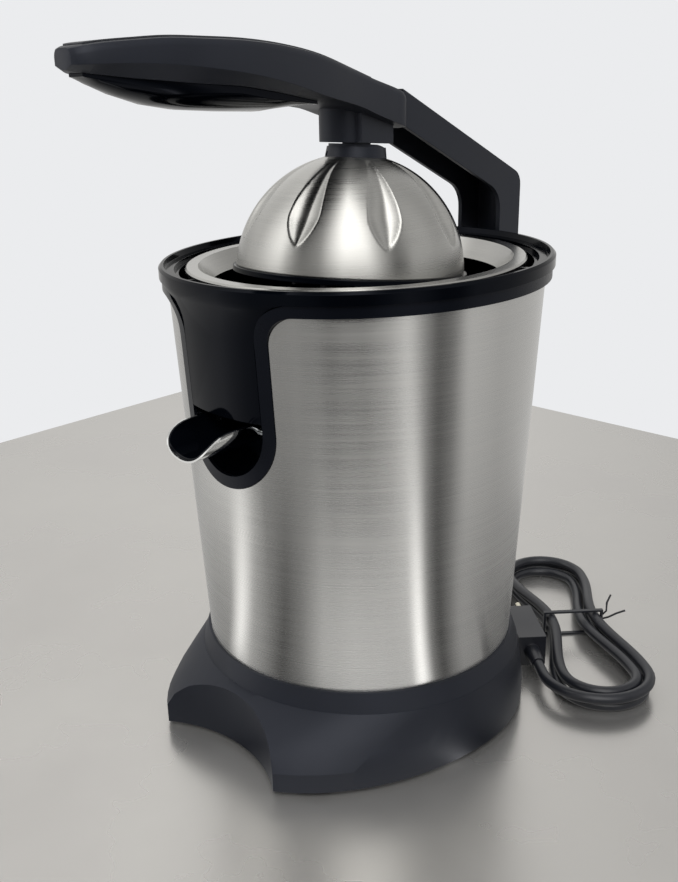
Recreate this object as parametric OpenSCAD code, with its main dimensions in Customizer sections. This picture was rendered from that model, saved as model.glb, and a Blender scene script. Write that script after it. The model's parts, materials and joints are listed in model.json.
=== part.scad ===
// Commercial citrus juicer with a press handle.
// The origin is on the table under the body's axis, +Z is up and the spout points to -Y.

/* [Body] */
// Outer radius of the glossy lip round the rim
rim_r = 96.2; // [94:0.2:100]
// Height of the rim above the table
rim_z = 245; // [238:1:255]
// Height of the glossy lip
lip_h = 6; // [5:0.5:8]
// Height of the satin band under the lip
band_h = 5.4; // [4.5:0.3:7]
// How far the satin band stands in from the lip
band_inset = 1.2; // [0.8:0.2:2.4]
// How far the steel shell's top edge stands in from the rim
shell_inset = 4.2; // [3.6:0.2:6]
// How much the steel shell narrows from its top edge to its lower one
shell_taper = 9.4; // [7:0.2:11]
// Wall of the steel shell
shell_t = 0.8; // [0.6:0.1:1.2]
// Half width of the satin frame round the spout recess
frame_half = 31; // [29:0.5:33]
// Width of that frame's face
frame_w = 6.2; // [5:0.2:8]
// How far the middle of the frame's round end lies below the rim
frame_drop = 67; // [64:1:70]

/* [Base] */
// Height of the rubber feet under the base
foot_h = 3; // [2:0.5:5]
// Height of the base's upright skirt
skirt_h = 10.5; // [8:0.5:13]
// Height of the sloping flare
flare_h = 22; // [18:1:26]
// Height of the collar that carries the shell
collar_h = 10; // [8:0.5:12]
// How far the crease between collar and flare stands out from the steel shell
crease_out = 4.9; // [3.5:0.1:6]
// How far the skirt stands out from that crease at the sides and back
skirt_out = 3.5; // [2.5:0.25:7]
// How much further the front of the skirt reaches than its sides
front_out = 28.5; // [24:0.5:32]
// Depth of the hollow in the base's front, where the glass stands
arch_deep = 27.5; // [25:0.5:29]
// Wall of the moulded base
base_wall = 2.5; // [2:0.25:3]

/* [Bowl and strainer] */
// Wall of the juice bowl
bowl_wall = 2.2; // [1.8:0.2:2.6]
// Depth of the bowl's floor below the rim
bowl_depth = 55; // [52:1:58]
// Room between the strainer's rolled rim and the bowl's wall
strainer_inset = 3.2; // [2:0.2:4.4]
// Width of that rim
strainer_rim_w = 5.6; // [4.5:0.3:6.5]
// Depth of the strainer's rim below the bowl's rim
strainer_drop = 2; // [1.5:0.5:4]
// Depth of the strainer's floor below its rim
strainer_depth = 33; // [31:0.5:34]
// Width of the strainer's sloping wall, seen from above
strainer_slope = 24; // [20:0.2:25]
// Sheet of the strainer
strainer_t = 0.8; // [0.6:0.1:1]
// Number of slots in the strainer's floor
slot_count = 40; // [24:4:48]
// Radius of the reamer at its foot
reamer_r = 36; // [32:1:40]
// Height of the reamer
reamer_h = 50; // [46:1:52]
// Number of ribs on the reamer
reamer_ribs = 10; // [6:1:12]

/* [Press dome] */
// Radius of the press dome at its lower edge
dome_r = 55.7; // [53:0.3:57]
// Height of the dome above its lower edge
dome_h = 53.5; // [51:0.5:55]
// Depth of the dome's lower edge below the rim
dome_drop = 7; // [5:0.5:8]
// Wall of the dome
dome_t = 1; // [0.8:0.1:1.4]
// Lean of the dome at rest, in degrees
dome_lean = 6.2; // [0:0.2:7]
// Radius of the dents pressed into the dome
dent_r = 8.5; // [7:0.5:9]
// Number of dents
dent_count = 8; // [6:1:8]

/* [Arm and handle] */
// Half width of the arm
arm_half = 14; // [13:0.5:16]
// Wall of the arm's channel
arm_wall = 2.5; // [2:0.25:3]
// Depth of the arm's upright post
post_depth = 17.4; // [16:0.2:19]
// Depth of the arm's sloping beam
beam_depth = 14.5; // [13:0.5:16]
// Gap between the rim and the arm's post
arm_gap = 2.4; // [1.5:0.1:4]
// Slope of the beam, in degrees
beam_slope = 26.5; // [24:0.5:28]
// Height of the beam's top line above the rim, taken on the body's axis
beam_up = 84.4; // [82:0.4:86]
// Distance of the hinge axis below the rim
hinge_drop = 14; // [13:0.5:16]
// Radius of the hinge pin
hinge_pin_r = 3; // [2.5:0.25:3.5]
// Largest half width of the handle
handle_half = 26; // [24:0.5:28]
// Reach of the handle in front of the axis
handle_reach = 154; // [145:0.5:165]
// Height of the handle's side band in its middle
handle_t = 14.6; // [13:0.5:16]
// Height of the handle's highest point above the rim
handle_up = 99.4; // [98:0.2:101]
// Depth of the glossy grip's belly
belly_h = 9.6; // [8:0.4:13]

/* [Spout] */
// Half width of the spout's trough
spout_half = 16.5; // [15:0.5:17.5]
// Reach of the spout beyond the rim
spout_out = 17.4; // [8:0.2:22]
// Sheet of the spout
spout_t = 1; // [0.8:0.1:1.4]
// Distance of the trough's upper edge below the rim
spout_drop = 64.5; // [64:0.5:67]

/* [Drive] */
// Radius of the drive shaft
shaft_r = 6; // [5.5:0.25:6.5]
// Radius of the push rod inside the drive shaft
rod_r = 2; // [1.6:0.1:2.4]
// Travel of the reamer on its shaft
press_travel = 2.5; // [1.5:0.25:3]
// Length of the motor's can
motor_h = 84; // [74:1:86]

/* [Cord] */
// Diameter of the mains cord
cord_d = 6; // [5.5:0.5:6.5]
// Straight run of the folded cord's loops
hank_run = 120; // [100:5:125]

/* [Hidden] */

// Fits, overruns and the number of sides of a circle
fit = 0.3;
run_fit = 0.05;
over = 1;
fine = 96;
mid = 48;
small = 24;

// Finishes
satin_black = "#26272e";
gloss_black = "#0c0c10";
steel = "#b9bbbd";
rubber = "#17181a";
brass = "#b08d57";
nylon = "#d8d5c8";

// Radii that follow from the rim
shell_top_r = rim_r - shell_inset;
shell_bottom_r = shell_top_r - shell_taper;
crease_r = shell_bottom_r + crease_out;
base_r = crease_r + skirt_out;
base_front = base_r + front_out;
arch_y = base_front - arch_deep;
arch_share = 0.8022;
arch_r = arch_share * base_r;
motor_x_share = 0.49637;
motor_share = 0.3753;
motor_x = motor_x_share * shell_bottom_r;
motor_r = motor_share * shell_bottom_r;
spout_reach = rim_r + spout_out;
spout_axis_in = 16.2;
spout_axis_y = rim_r - spout_axis_in;

// Heights that follow from the stack
skirt_z = foot_h + skirt_h;
crease_z = skirt_z + flare_h;
shell_z = crease_z + collar_h;
band_top = rim_z - lip_h;
band_z = band_top - band_h;
band_r = rim_r - band_inset;
frame_z = rim_z - frame_drop;
frame_in = frame_half - frame_w;
floor_z = rim_z - bowl_depth;

sweep_h = 18;
sweep_steps = 6;

// The frame and the panel over the spout sweep outwards, from the shell's cone to the band and the lip
function sweep(r_far, z_far) = [for (i = [0:sweep_steps]) let (t = i / sweep_steps, z = z_far - sweep_h * (1 - t))
    [shell_r(z) + frame_proud + (r_far - shell_r(z_far) - frame_proud) * t * t, z]];

function shell_r(z) = shell_bottom_r
    + (shell_top_r - shell_bottom_r) * (z - shell_z) / (band_z - shell_z);

module at(x, y, z) {
    translate([x, y, z]) children();
}

module ring(r_out, r_in, z_low, z_high) {
    at(0, 0, z_low) difference() {
        cylinder(r = r_out, h = z_high - z_low, $fn = fine);
        at(0, 0, -over) cylinder(r = r_in, h = z_high - z_low + 2 * over, $fn = fine);
    }
}

// A round bar along X, centred on the plane X = 0
module bar_x(r, half) {
    rotate([0, 90, 0]) at(0, 0, -half) cylinder(r = r, h = 2 * half, $fn = mid);
}

// A drawing in X and Z, pushed out through the front
module to_front(y_near, y_far) {
    at(0, -y_near, 0) rotate([90, 0, 0]) linear_extrude(y_far - y_near) children();
}

// A side view drawn in Y and Z, with its thickness centred on the plane X = 0
module side_slab(half) {
    rotate([90, 0, 90]) at(0, 0, -half) linear_extrude(2 * half) children();
}

// A block from one corner to the other
module block(low, high) {
    translate(low) cube(high - low);
}

// An outline whose corners are rounded, each [y, z, radius]
corner_steps = 6;
function unit(v) = v / norm(v);
function corner_arc(a, b, c, r) = r == 0 ? [b] : let (
    u = unit(a - b), v = unit(c - b), half = acos(u * v) / 2,
    mid_point = b + unit(u + v) * r / sin(half),
    p = b + u * r / tan(half) - mid_point, q = b + v * r / tan(half) - mid_point,
    start = atan2(p[1], p[0]), turn = atan2(q[1], q[0]) - start,
    sweep = turn > 180 ? turn - 360 : turn < -180 ? turn + 360 : turn)
    [for (i = [0:corner_steps]) mid_point + r * [cos(start + sweep * i / corner_steps),
                                                 sin(start + sweep * i / corner_steps)]];
function xy(p) = [p[0], p[1]];
function rounded(points) = let (n = len(points)) [for (i = [0:n - 1])
    each corner_arc(xy(points[(i + n - 1) % n]), xy(points[i]), xy(points[(i + 1) % n]), points[i][2])];

// A skin through sections that have the same number of points
module loft(sections) {
    n = len(sections[0]);
    m = len(sections);
    polyhedron(
        [for (s = sections) each s],
        concat(
            [for (j = [1:n - 2]) [0, j + 1, j]],
            [for (i = [0:m - 2], j = [0:n - 1], k = [0, 1]) let (
                a = i * n + j, b = i * n + (j + 1) % n, c = a + n, d = b + n)
                k == 0 ? [a, b, c] : [b, d, c]],
            [for (j = [1:n - 2]) [(m - 1) * n, (m - 1) * n + j, (m - 1) * n + j + 1]]));
}

// A round tube swept along points
function direction(p, i) = unit(i == 0 ? p[1] - p[0]
    : i == len(p) - 1 ? p[i] - p[i - 1] : unit(p[i + 1] - p[i]) + unit(p[i] - p[i - 1]));
function level_side(d) = unit(cross([0, 0, 1], d));
module tube(points, d, sides) {
    loft([for (i = [0:len(points) - 1]) let (t = direction(points, i), u = level_side(t), v = cross(t, u))
        [for (j = [0:sides - 1]) points[i] + d / 2 * (u * sin(360 * (j + 0.5) / sides) + v * cos(360 * (j + 0.5) / sides))]]);
}

// Base
outline_step = 5;
plate_t = 2.5;
plate_z = foot_h + 1;
plate_gap = 0.5;
spigot_h = 6;
spigot_t = 2;
seam_t = 0.5;
flare_up_shares = [0.3, 0.6];
flare_swell_share = 0.8;
collar_lip = 1.4;
collar_r = shell_bottom_r + collar_lip;
spigot_r = shell_bottom_r - shell_t - fit;
arch_mid_y = arch_y + arch_r;
gland_az = 4;
gland_up = 7;
gland_z = foot_h + gland_up;
gland_hole_r = 5;

function base_points(inset) = [for (a = [0:outline_step:360 - outline_step])
    [(base_r - inset) * cos(a), (a > 180 ? base_front - inset : base_r - inset) * sin(a)]];

module base_solid(inset, z_low) {
    difference() {
        hull() {
            at(0, 0, z_low) linear_extrude(skirt_z - z_low) polygon(base_points(inset));
            for (t = flare_up_shares) at(0, 0, skirt_z + t * flare_h) linear_extrude(seam_t)
                polygon([for (p = base_points(inset)) let (r = norm(p), far = r - crease_r + inset)
                    p * (crease_r - inset + far * (1 - t + flare_swell_share * far / (base_front - crease_r) * t * (1 - t))) / r]);
            at(0, 0, crease_z - seam_t) cylinder(r = crease_r - inset, h = seam_t, $fn = fine);
        }
        at(0, -arch_mid_y, -over) cylinder(r = arch_r + inset, h = rim_z, $fn = fine);
    }
}

module base_shell() {
    color(satin_black) difference() {
        union() {
            base_solid(0, foot_h);
            at(0, 0, crease_z - seam_t) cylinder(r1 = crease_r, r2 = collar_r, h = collar_h + seam_t, $fn = fine);
            at(0, 0, shell_z - over) cylinder(r = spigot_r, h = spigot_h + over, $fn = fine);
        }
        base_solid(base_wall, foot_h - over);
        at(0, 0, crease_z - over) cylinder(r = spigot_r - spigot_t, h = collar_h + spigot_h + 3 * over, $fn = fine);
        rotate([0, 0, -gland_az]) at(0, crease_r, gland_z)
            rotate([-90, 0, 0]) cylinder(r = gland_hole_r + run_fit, h = base_r, $fn = mid);
    }
}

foot_x_share = 0.54945;
foot_front_share = 0.70293;
foot_back_share = 0.63736;
foot_x = foot_x_share * base_r;
foot_front_y = -foot_front_share * base_front;
foot_back_y = foot_back_share * base_r;
foot_top_r = 8;
foot_low_r = 6.5;
foot_stud_r = 3;
foot_places = [for (x = [-foot_x, foot_x], y = [foot_front_y, foot_back_y]) [x, y]];
post_r = 6;
post_gap = 1;
post_az = 28;
post_ring_r = spigot_r - spigot_t - post_gap - post_r;
post_x = post_ring_r * cos(post_az);
post_y = post_ring_r * sin(post_az);
post_places = [for (x = [-post_x, post_x], y = [-post_y, post_y]) [x, y]];
screw_r = 1.6;
screw_head_r = 3;
screw_head_h = 1.6;
screw_l = 12;
screw_neck = 0.2;

module screw(z_head, up, length) {
    at(0, 0, z_head) mirror([0, 0, up ? 0 : 1]) {
        at(0, 0, -screw_head_h) cylinder(r = screw_head_r, h = screw_head_h, $fn = small);
        at(0, 0, -screw_neck) cylinder(r = screw_r, h = length, $fn = small);
    }
}

module base_plate() {
    color("#2b2c31") difference() {
        at(0, 0, plate_z) linear_extrude(plate_t) difference() {
            polygon(base_points(base_wall + plate_gap));
            translate([0, -arch_mid_y]) circle(r = arch_r + base_wall + plate_gap, $fn = fine);
        }
        for (p = foot_places) at(p[0], p[1], 0) cylinder(r = foot_stud_r + run_fit, h = skirt_z, $fn = small);
        for (p = post_places) at(p[0], p[1], 0) cylinder(r = screw_r + run_fit, h = skirt_z, $fn = small);
    }
}

module feet() {
    color(rubber) for (p = foot_places) at(p[0], p[1], 0) {
        cylinder(r1 = foot_low_r, r2 = foot_top_r, h = plate_z, $fn = mid);
        cylinder(r = foot_stud_r, h = plate_z + plate_t + over, $fn = small);
    }
}

module base_screws() {
    color(steel) for (p = post_places) at(p[0], p[1], 0) screw(plate_z, true, screw_l);
}

// Steel shell and satin frame
frame_fit = 0.2;
steel_corner_r = 14;
gloss_corner_r = 20;
frame_proud = 0.5;
frame_t = 2;
frame_spigot_h = 10;
frame_spigot_t = 2;
frame_back_r = shell_top_r - shell_t - fit - frame_spigot_t;
knuckle_gap = 0.7;
knuckle_half = arm_half - arm_wall - knuckle_gap;
knuckle_r = 6.2;
hinge_y = rim_r + arm_gap + post_depth / 2;
hinge_z = rim_z - hinge_drop;

// The recess's outline: straight sides, a round lower end and flared upper corners
module recess_drawing(half, top, corner) {
    translate([0, frame_z]) circle(r = half, $fn = fine);
    translate([-half, frame_z]) square([2 * half, top - frame_z + over]);
    for (s = [0, 1]) mirror([s, 0]) translate([half - over, top - corner]) difference() {
        square([corner + over, corner + over]);
        translate([corner + over, 0]) circle(r = corner, $fn = mid);
    }
}

module shell_wedge(extra, t, z_low, z_high) {
    rotate_extrude($fn = fine) polygon([
        [shell_r(z_low) + extra - t, z_low], [shell_r(z_low) + extra, z_low],
        [shell_r(z_high) + extra, z_high], [shell_r(z_high) + extra - t, z_high]]);
}

module body_shell() {
    color(steel) difference() {
        shell_wedge(0, shell_t, shell_z, band_z);
        to_front(0, 2 * rim_r) recess_drawing(frame_half + frame_fit, band_z, steel_corner_r);
    }
}

module top_frame() {
    spigot_z = band_z - frame_spigot_h;
    frame_low_z = frame_z - frame_half - over;
    color(satin_black) difference() {
        union() {
            ring(band_r, frame_back_r, band_z, band_top);
            ring(frame_back_r + frame_spigot_t - (shell_r(band_z) - shell_r(spigot_z)), frame_back_r, spigot_z, band_z + over);
            intersection() {
                rotate_extrude($fn = fine) polygon(concat(
                    [[shell_r(frame_low_z) + frame_proud, frame_low_z]], sweep(band_r, band_z),
                    [[shell_r(band_z) + frame_proud - frame_t, band_z + over],
                     [shell_r(frame_low_z) + frame_proud - frame_t, frame_low_z]]));
                to_front(0, 2 * rim_r) recess_drawing(frame_half, band_z, steel_corner_r);
            }
            difference() {
                union() {
                    at(0, hinge_y, hinge_z) bar_x(knuckle_r, knuckle_half);
                    block([-knuckle_half, 0, hinge_z - knuckle_r], [knuckle_half, hinge_y, hinge_z + knuckle_r]);
                }
                at(0, 0, shell_z) cylinder(r = shell_top_r + fit, h = band_z - shell_z, $fn = fine);
                at(0, 0, shell_z) cylinder(r = frame_back_r + over, h = rim_z, $fn = fine);
            }
        }
        to_front(0, 2 * rim_r) recess_drawing(frame_in, band_top, gloss_corner_r);
        at(0, hinge_y, hinge_z) bar_x(hinge_pin_r + run_fit, 2 * arm_half);
    }
}

well_wall = 2;
well_deep = 20;
well_back_y = spout_axis_y - well_deep;
well_gap = 2;
well_top_z = floor_z - bowl_wall - well_gap;

module spout_well() {
    inset = frame_t - frame_proud + fit;
    color(gloss_black) difference() {
        intersection() {
            to_front(well_back_y, rim_r) {
                translate([0, frame_z]) circle(r = frame_in + well_wall, $fn = fine);
                translate([-frame_in - well_wall, frame_z]) square([2 * (frame_in + well_wall), well_top_z - frame_z]);
            }
            rotate_extrude($fn = fine) polygon([[0, shell_z], [shell_r(shell_z) - inset, shell_z],
                [shell_r(well_top_z) - inset, well_top_z], [0, well_top_z]]);
        }
        to_front(well_back_y + well_wall, rim_r) recess_drawing(frame_in, band_top, gloss_corner_r);
        at(0, -spout_axis_y, spout_axis_z) bar_x(spout_pin_r + run_fit, rim_r);
    }
}

// Chassis: a deck on four posts, with the boss that carries the upper bush
deck_gap = 6;
deck_t = 3;
deck_top = floor_z - bowl_wall - deck_gap;
deck_z = deck_top - deck_t;
bush_wall = 2;
bush_h = 8.5;
lower_boss = 5;
seal_h = 4;
bush_r = shaft_r + run_fit + bush_wall;
boss_wall = 1.5;
post_z = plate_z + plate_t;
pilot_deep = 14;
case_screw_azs = [-110, -20, 60];

module chassis() {
    color("#3a3b40") difference() {
        union() {
            at(0, 0, deck_z) cylinder(r = shell_r(deck_z) - frame_t + frame_proud - fit, h = deck_t, $fn = fine);
            at(0, 0, deck_z) cylinder(r = bush_r + boss_wall, h = bush_h, $fn = mid);
            for (p = post_places) at(p[0], p[1], post_z) cylinder(r = post_r, h = deck_z - post_z + over, $fn = small);
        }
        at(0, 0, deck_z - over) cylinder(r = bush_r + run_fit, h = bush_h + 2 * over, $fn = mid);
        at(idler_at[0], idler_at[1], deck_z - over) cylinder(r = axle_r + run_fit, h = deck_t + 2 * over, $fn = small);
        for (p = post_places) at(p[0], p[1], post_z - over) cylinder(r = screw_r + run_fit, h = pilot_deep, $fn = small);
        for (a = case_screw_azs) rotate([0, 0, a]) at(case_screw_r, 0, deck_z - over)
            cylinder(r = screw_r + run_fit, h = deck_t + 2 * over, $fn = small);
        block([-frame_in - well_wall - fit, -rim_r, deck_z - over],
              [frame_in + well_wall + fit, -well_back_y + fit, deck_top + over]);
    }
}

// Gears: teeth, pitch radii and places
slow_share = 0.0121065;
fast_share = 0.7;
slow_module = slow_share * shell_bottom_r;
fast_module = fast_share * slow_module;
output_teeth = 52;
small_teeth = 13;
large_teeth = 60;
motor_teeth = 12;
tip_share = 0.9;
root_share = 1.25;
tooth_share = 0.86;
tip_width_share = 0.42;
gear_face = 8;
fast_face = 6;
gear_gap = 2;
axle_r = 2.5;
motor_shaft_r = 2.5;

slow_reach = slow_module * (output_teeth + small_teeth) / 2;
fast_reach = fast_module * (large_teeth + motor_teeth) / 2;
idler_turn = acos((slow_reach * slow_reach + motor_x * motor_x - fast_reach * fast_reach) / (2 * slow_reach * motor_x));
idler_az = 180 - idler_turn;
idler_at = slow_reach * [cos(idler_az), sin(idler_az)];
motor_at = [-motor_x, 0];
motor_az = atan2(motor_at[1] - idler_at[1], motor_at[0] - idler_at[0]);

slow_z = deck_z - gear_gap - gear_face;
fast_z = slow_z - gear_gap - fast_face;
case_floor_t = 3;
case_wall = 2.5;
case_gap = 2;
case_z = fast_z - gear_gap - case_floor_t;

// A spur gear whose tooth number 0 points along the angle given
module gear(mod, teeth, h, bore, az) {
    pitch_r = mod * teeth / 2;
    half_pitch = tooth_share * 90 / teeth;
    root_half = half_pitch * (1 + tip_width_share);
    tip_half = half_pitch * tip_width_share;
    difference() {
        linear_extrude(h) rotate([0, 0, az]) polygon([for (i = [0:teeth - 1]) each
            [for (p = [[-root_half, -root_share], [-half_pitch, 0], [-tip_half, tip_share],
                       [tip_half, tip_share], [half_pitch, 0], [root_half, -root_share]])
                (pitch_r + p[1] * mod) * [cos(360 * i / teeth + p[0]), sin(360 * i / teeth + p[0])]]]);
        at(0, 0, -over) cylinder(r = bore, h = h + 2 * over, $fn = mid);
    }
}

// Angles at which the teeth mesh: a gap of one gear faces a tooth of the other
output_az = idler_az;
small_az = idler_az + 180 + 180 / small_teeth;
large_az = motor_az;
pinion_az = motor_az + 180 + 180 / motor_teeth;

module output_gear() {
    color(nylon) at(0, 0, slow_z) gear(slow_module, output_teeth, gear_face, shaft_r + run_fit, output_az);
}

module idler_pinion() {
    color(steel) at(idler_at[0], idler_at[1], slow_z) gear(slow_module, small_teeth, gear_face, axle_r + run_fit, small_az);
}

idler_hub_r = 5;

module idler_gear() {
    color(nylon) at(idler_at[0], idler_at[1], fast_z) difference() {
        union() {
            gear(fast_module, large_teeth, fast_face, axle_r + run_fit, large_az);
            cylinder(r = idler_hub_r, h = fast_face + gear_gap, $fn = mid);
        }
        at(0, 0, -over) cylinder(r = axle_r + run_fit, h = fast_face + gear_gap + 2 * over, $fn = mid);
    }
}

module motor_pinion() {
    color(brass) at(motor_at[0], motor_at[1], fast_z) gear(fast_module, motor_teeth, fast_face, motor_shaft_r + run_fit, pinion_az);
}

module idler_axle() {
    color(steel) at(idler_at[0], idler_at[1], case_z + over / 2)
        cylinder(r = axle_r, h = deck_top - case_z - over, $fn = mid);
}

// Gearbox housing: floor and wall under the deck, with the switch's bracket
output_room = slow_module * (output_teeth / 2 + 1) + case_gap;
idler_room = fast_module * (large_teeth / 2 + 1) + case_gap;
motor_room = 17;
case_screw_out = 6;
case_screw_r = output_room + case_screw_out;
ear_x = 5;
ear_t = 3;
ear_low = 25;
ear_front_y = -8;
ear_back_y = 19;
lever_arm = 14;
lever_pin_r = 1.5;
lever_half = 4;
lever_t = 1.6;
lever_gap = 9;
rod_low_z = case_z - lever_gap;
lever_z = rod_low_z - fit - lever_t;
lever_pin_z = lever_z + lever_t / 2;
case_pad_r = 5;

module case_drawing(extra) {
    circle(r = output_room + extra, $fn = fine);
    translate(idler_at) circle(r = idler_room + extra, $fn = fine);
    translate(motor_at) circle(r = motor_room + extra, $fn = fine);
}

module gearbox_housing() {
    color("#c9c6ba") difference() {
        union() {
            at(0, 0, case_z) linear_extrude(deck_z - case_z) case_drawing(case_wall);
            at(0, 0, case_z - lower_boss) cylinder(r = bush_r + boss_wall, h = lower_boss + over, $fn = mid);
            for (a = case_screw_azs) rotate([0, 0, a]) at(case_screw_r, 0, deck_z - screw_l)
                cylinder(r = case_pad_r, h = screw_l, $fn = small);
            block([ear_x, ear_front_y, case_z - ear_low], [ear_x + ear_t, ear_back_y, case_z + over]);
        }
        difference() {
            at(0, 0, case_z + case_floor_t) linear_extrude(deck_z - case_z) case_drawing(0);
            for (a = case_screw_azs) rotate([0, 0, a]) at(case_screw_r, 0, deck_z - screw_l)
                cylinder(r = case_pad_r, h = screw_l, $fn = small);
        }
        at(0, 0, case_z - lower_boss - over) cylinder(r = bush_r + run_fit, h = bush_h + 2 * over, $fn = mid);
        at(idler_at[0], idler_at[1], case_z - over) cylinder(r = axle_r + run_fit, h = case_floor_t + 2 * over, $fn = mid);
        at(motor_at[0], motor_at[1], case_z - over) cylinder(r = motor_shaft_r + over, h = case_floor_t + 2 * over, $fn = mid);
        motor_screw_places() at(0, 0, case_z - over) cylinder(r = screw_r + run_fit, h = case_floor_t + 2 * over, $fn = small);
        for (a = case_screw_azs) rotate([0, 0, a]) at(case_screw_r, 0, deck_z - screw_l - over)
            cylinder(r = screw_r + run_fit, h = screw_l + 2 * over, $fn = small);
        at(ear_x + ear_t / 2, lever_arm, lever_pin_z) bar_x(lever_pin_r + run_fit, ear_t);
    }
}

module gearbox_screws() {
    color(steel) for (a = case_screw_azs) rotate([0, 0, a]) at(case_screw_r, 0, 0) screw(deck_top, false, screw_l);
}

module lower_bush() {
    color(brass) ring(bush_r, shaft_r + run_fit, case_z - lower_boss, case_z + case_floor_t);
}

module upper_bush() {
    color(brass) ring(bush_r, shaft_r + run_fit, deck_z, deck_z + bush_h - seal_h / 2);
}

module shaft_seal() {
    color(rubber) ring(chimney_in_r - fit, shaft_r + run_fit, deck_z + bush_h - seal_h / 2, deck_z + bush_h + seal_h / 2);
}

// Motor
can_t = 1.5;
can_end_t = 3;
stator_h = 46;
rotor_r = 17;
stator_gap = 0.8;
motor_screw_reach = 12;
motor_screw_l = 7;
motor_z = case_z - motor_h;
fan_inset = 6;
fan_r = motor_r - fan_inset;
fan_h = 8;
fan_blades = 9;
fan_hub_r = 6;
fan_blade_t = 1.2;
fan_gap = 4;
fan_z = motor_z - fan_gap - fan_h;

module motor_screw_places() {
    for (a = [60, 180, 300]) at(motor_at[0], motor_at[1], 0) rotate([0, 0, a]) at(motor_screw_reach, 0, 0) children();
}

module motor_can() {
    color("#8d9094") difference() {
        at(motor_at[0], motor_at[1], motor_z) cylinder(r = motor_r, h = motor_h, $fn = fine);
        at(motor_at[0], motor_at[1], motor_z + can_end_t) cylinder(r = motor_r - can_t, h = motor_h - 2 * can_end_t, $fn = fine);
        at(motor_at[0], motor_at[1], motor_z - over) cylinder(r = motor_shaft_r + run_fit, h = motor_h + 2 * over, $fn = mid);
        motor_screw_places() at(0, 0, case_z - can_end_t - over) cylinder(r = screw_r + run_fit, h = can_end_t + 2 * over, $fn = small);
    }
}

module stator() {
    color("#a5622e") at(motor_at[0], motor_at[1], 0)
        ring(motor_r - can_t - run_fit, rotor_r + stator_gap, motor_z + (motor_h - stator_h) / 2, motor_z + (motor_h + stator_h) / 2);
}

module motor_screws() {
    color(steel) motor_screw_places() screw(case_z + case_floor_t, false, motor_screw_l);
}

module rotor_shaft() {
    color(steel) at(motor_at[0], motor_at[1], fan_z) cylinder(r = motor_shaft_r, h = fast_z + fast_face - fan_z, $fn = mid);
}

module rotor_core() {
    color("#6d7074") at(motor_at[0], motor_at[1], 0)
        ring(rotor_r, motor_shaft_r + run_fit, motor_z + (motor_h - stator_h) / 2, motor_z + (motor_h + stator_h) / 2);
}

module cooling_fan() {
    color("#e4e2da") at(motor_at[0], motor_at[1], fan_z) difference() {
        union() {
            cylinder(r = fan_hub_r, h = fan_h, $fn = mid);
            cylinder(r = fan_r, h = fan_blade_t, $fn = fine);
            for (i = [0:fan_blades - 1]) rotate([0, 0, 360 * i / fan_blades])
                block([fan_hub_r - over, -fan_blade_t / 2, 0], [fan_r, fan_blade_t / 2, fan_h]);
        }
        at(0, 0, -over) cylinder(r = motor_shaft_r + run_fit, h = fan_h + 2 * over, $fn = mid);
    }
}

// Switch under the drive shaft, worked by the push rod through a lever
switch_half = 4.7;
switch_h = 10;
switch_back = 4;
plunger_y = 6;
plunger_r = 1.2;
plunger_gap = 2.1;
switch_drop = 4.3;

module micro_switch() {
    top = lever_z - switch_drop;
    color("#1d1d20") {
        block([-switch_half, ear_front_y, top - switch_h], [switch_half, lever_arm + switch_back, top]);
        at(0, plunger_y, top - over) cylinder(r = plunger_r, h = switch_drop - plunger_gap + over, $fn = small);
    }
}

module switch_lever() {
    color(steel) difference() {
        union() {
            block([-lever_half, -lever_half, lever_z], [lever_half, lever_arm, lever_z + lever_t]);
            at(0, lever_arm, lever_pin_z) bar_x(lever_pin_r + lever_t, lever_half);
        }
        at(0, lever_arm, lever_pin_z) bar_x(lever_pin_r + run_fit, 2 * lever_half);
    }
}

module lever_pin() {
    color(steel) at((ear_x + ear_t - lever_half) / 2, lever_arm, lever_pin_z) bar_x(lever_pin_r, (ear_x + ear_t + lever_half) / 2);
}

// Bowl: lip, shelf, wall, floor and the chimney round the shaft
bowl_out_r = frame_back_r - fit;
bowl_in_r = bowl_out_r - bowl_wall;
bowl_draft = 4.6;
bowl_low_r = bowl_out_r - bowl_draft;
bowl_taper_h = 14;
bowl_taper_z = floor_z + bowl_taper_h;
strainer_r = bowl_in_r - strainer_inset;
strainer_floor_r = strainer_r - strainer_slope;
lip_w = 2.6;
lip_round = 1.2;
shelf_down = 2.6;
shelf_w = 5;
shelf_step = 2;
chimney_r = 11;
chimney_in_r = 8;
chimney_h = 14;
outlet_in = 12;
outlet_y = bowl_low_r - outlet_in;
outlet_r = 5;
outlet_dip = 3;
outlet_low_z = rim_z - spout_drop - outlet_dip;
apron_h = 62;
apron_z = rim_z - apron_h;
rib_count = 8;
rib_t = 2.4;
rib_h = 24;
strainer_z = rim_z - strainer_drop;
strainer_rim_t = 2.4;

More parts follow.
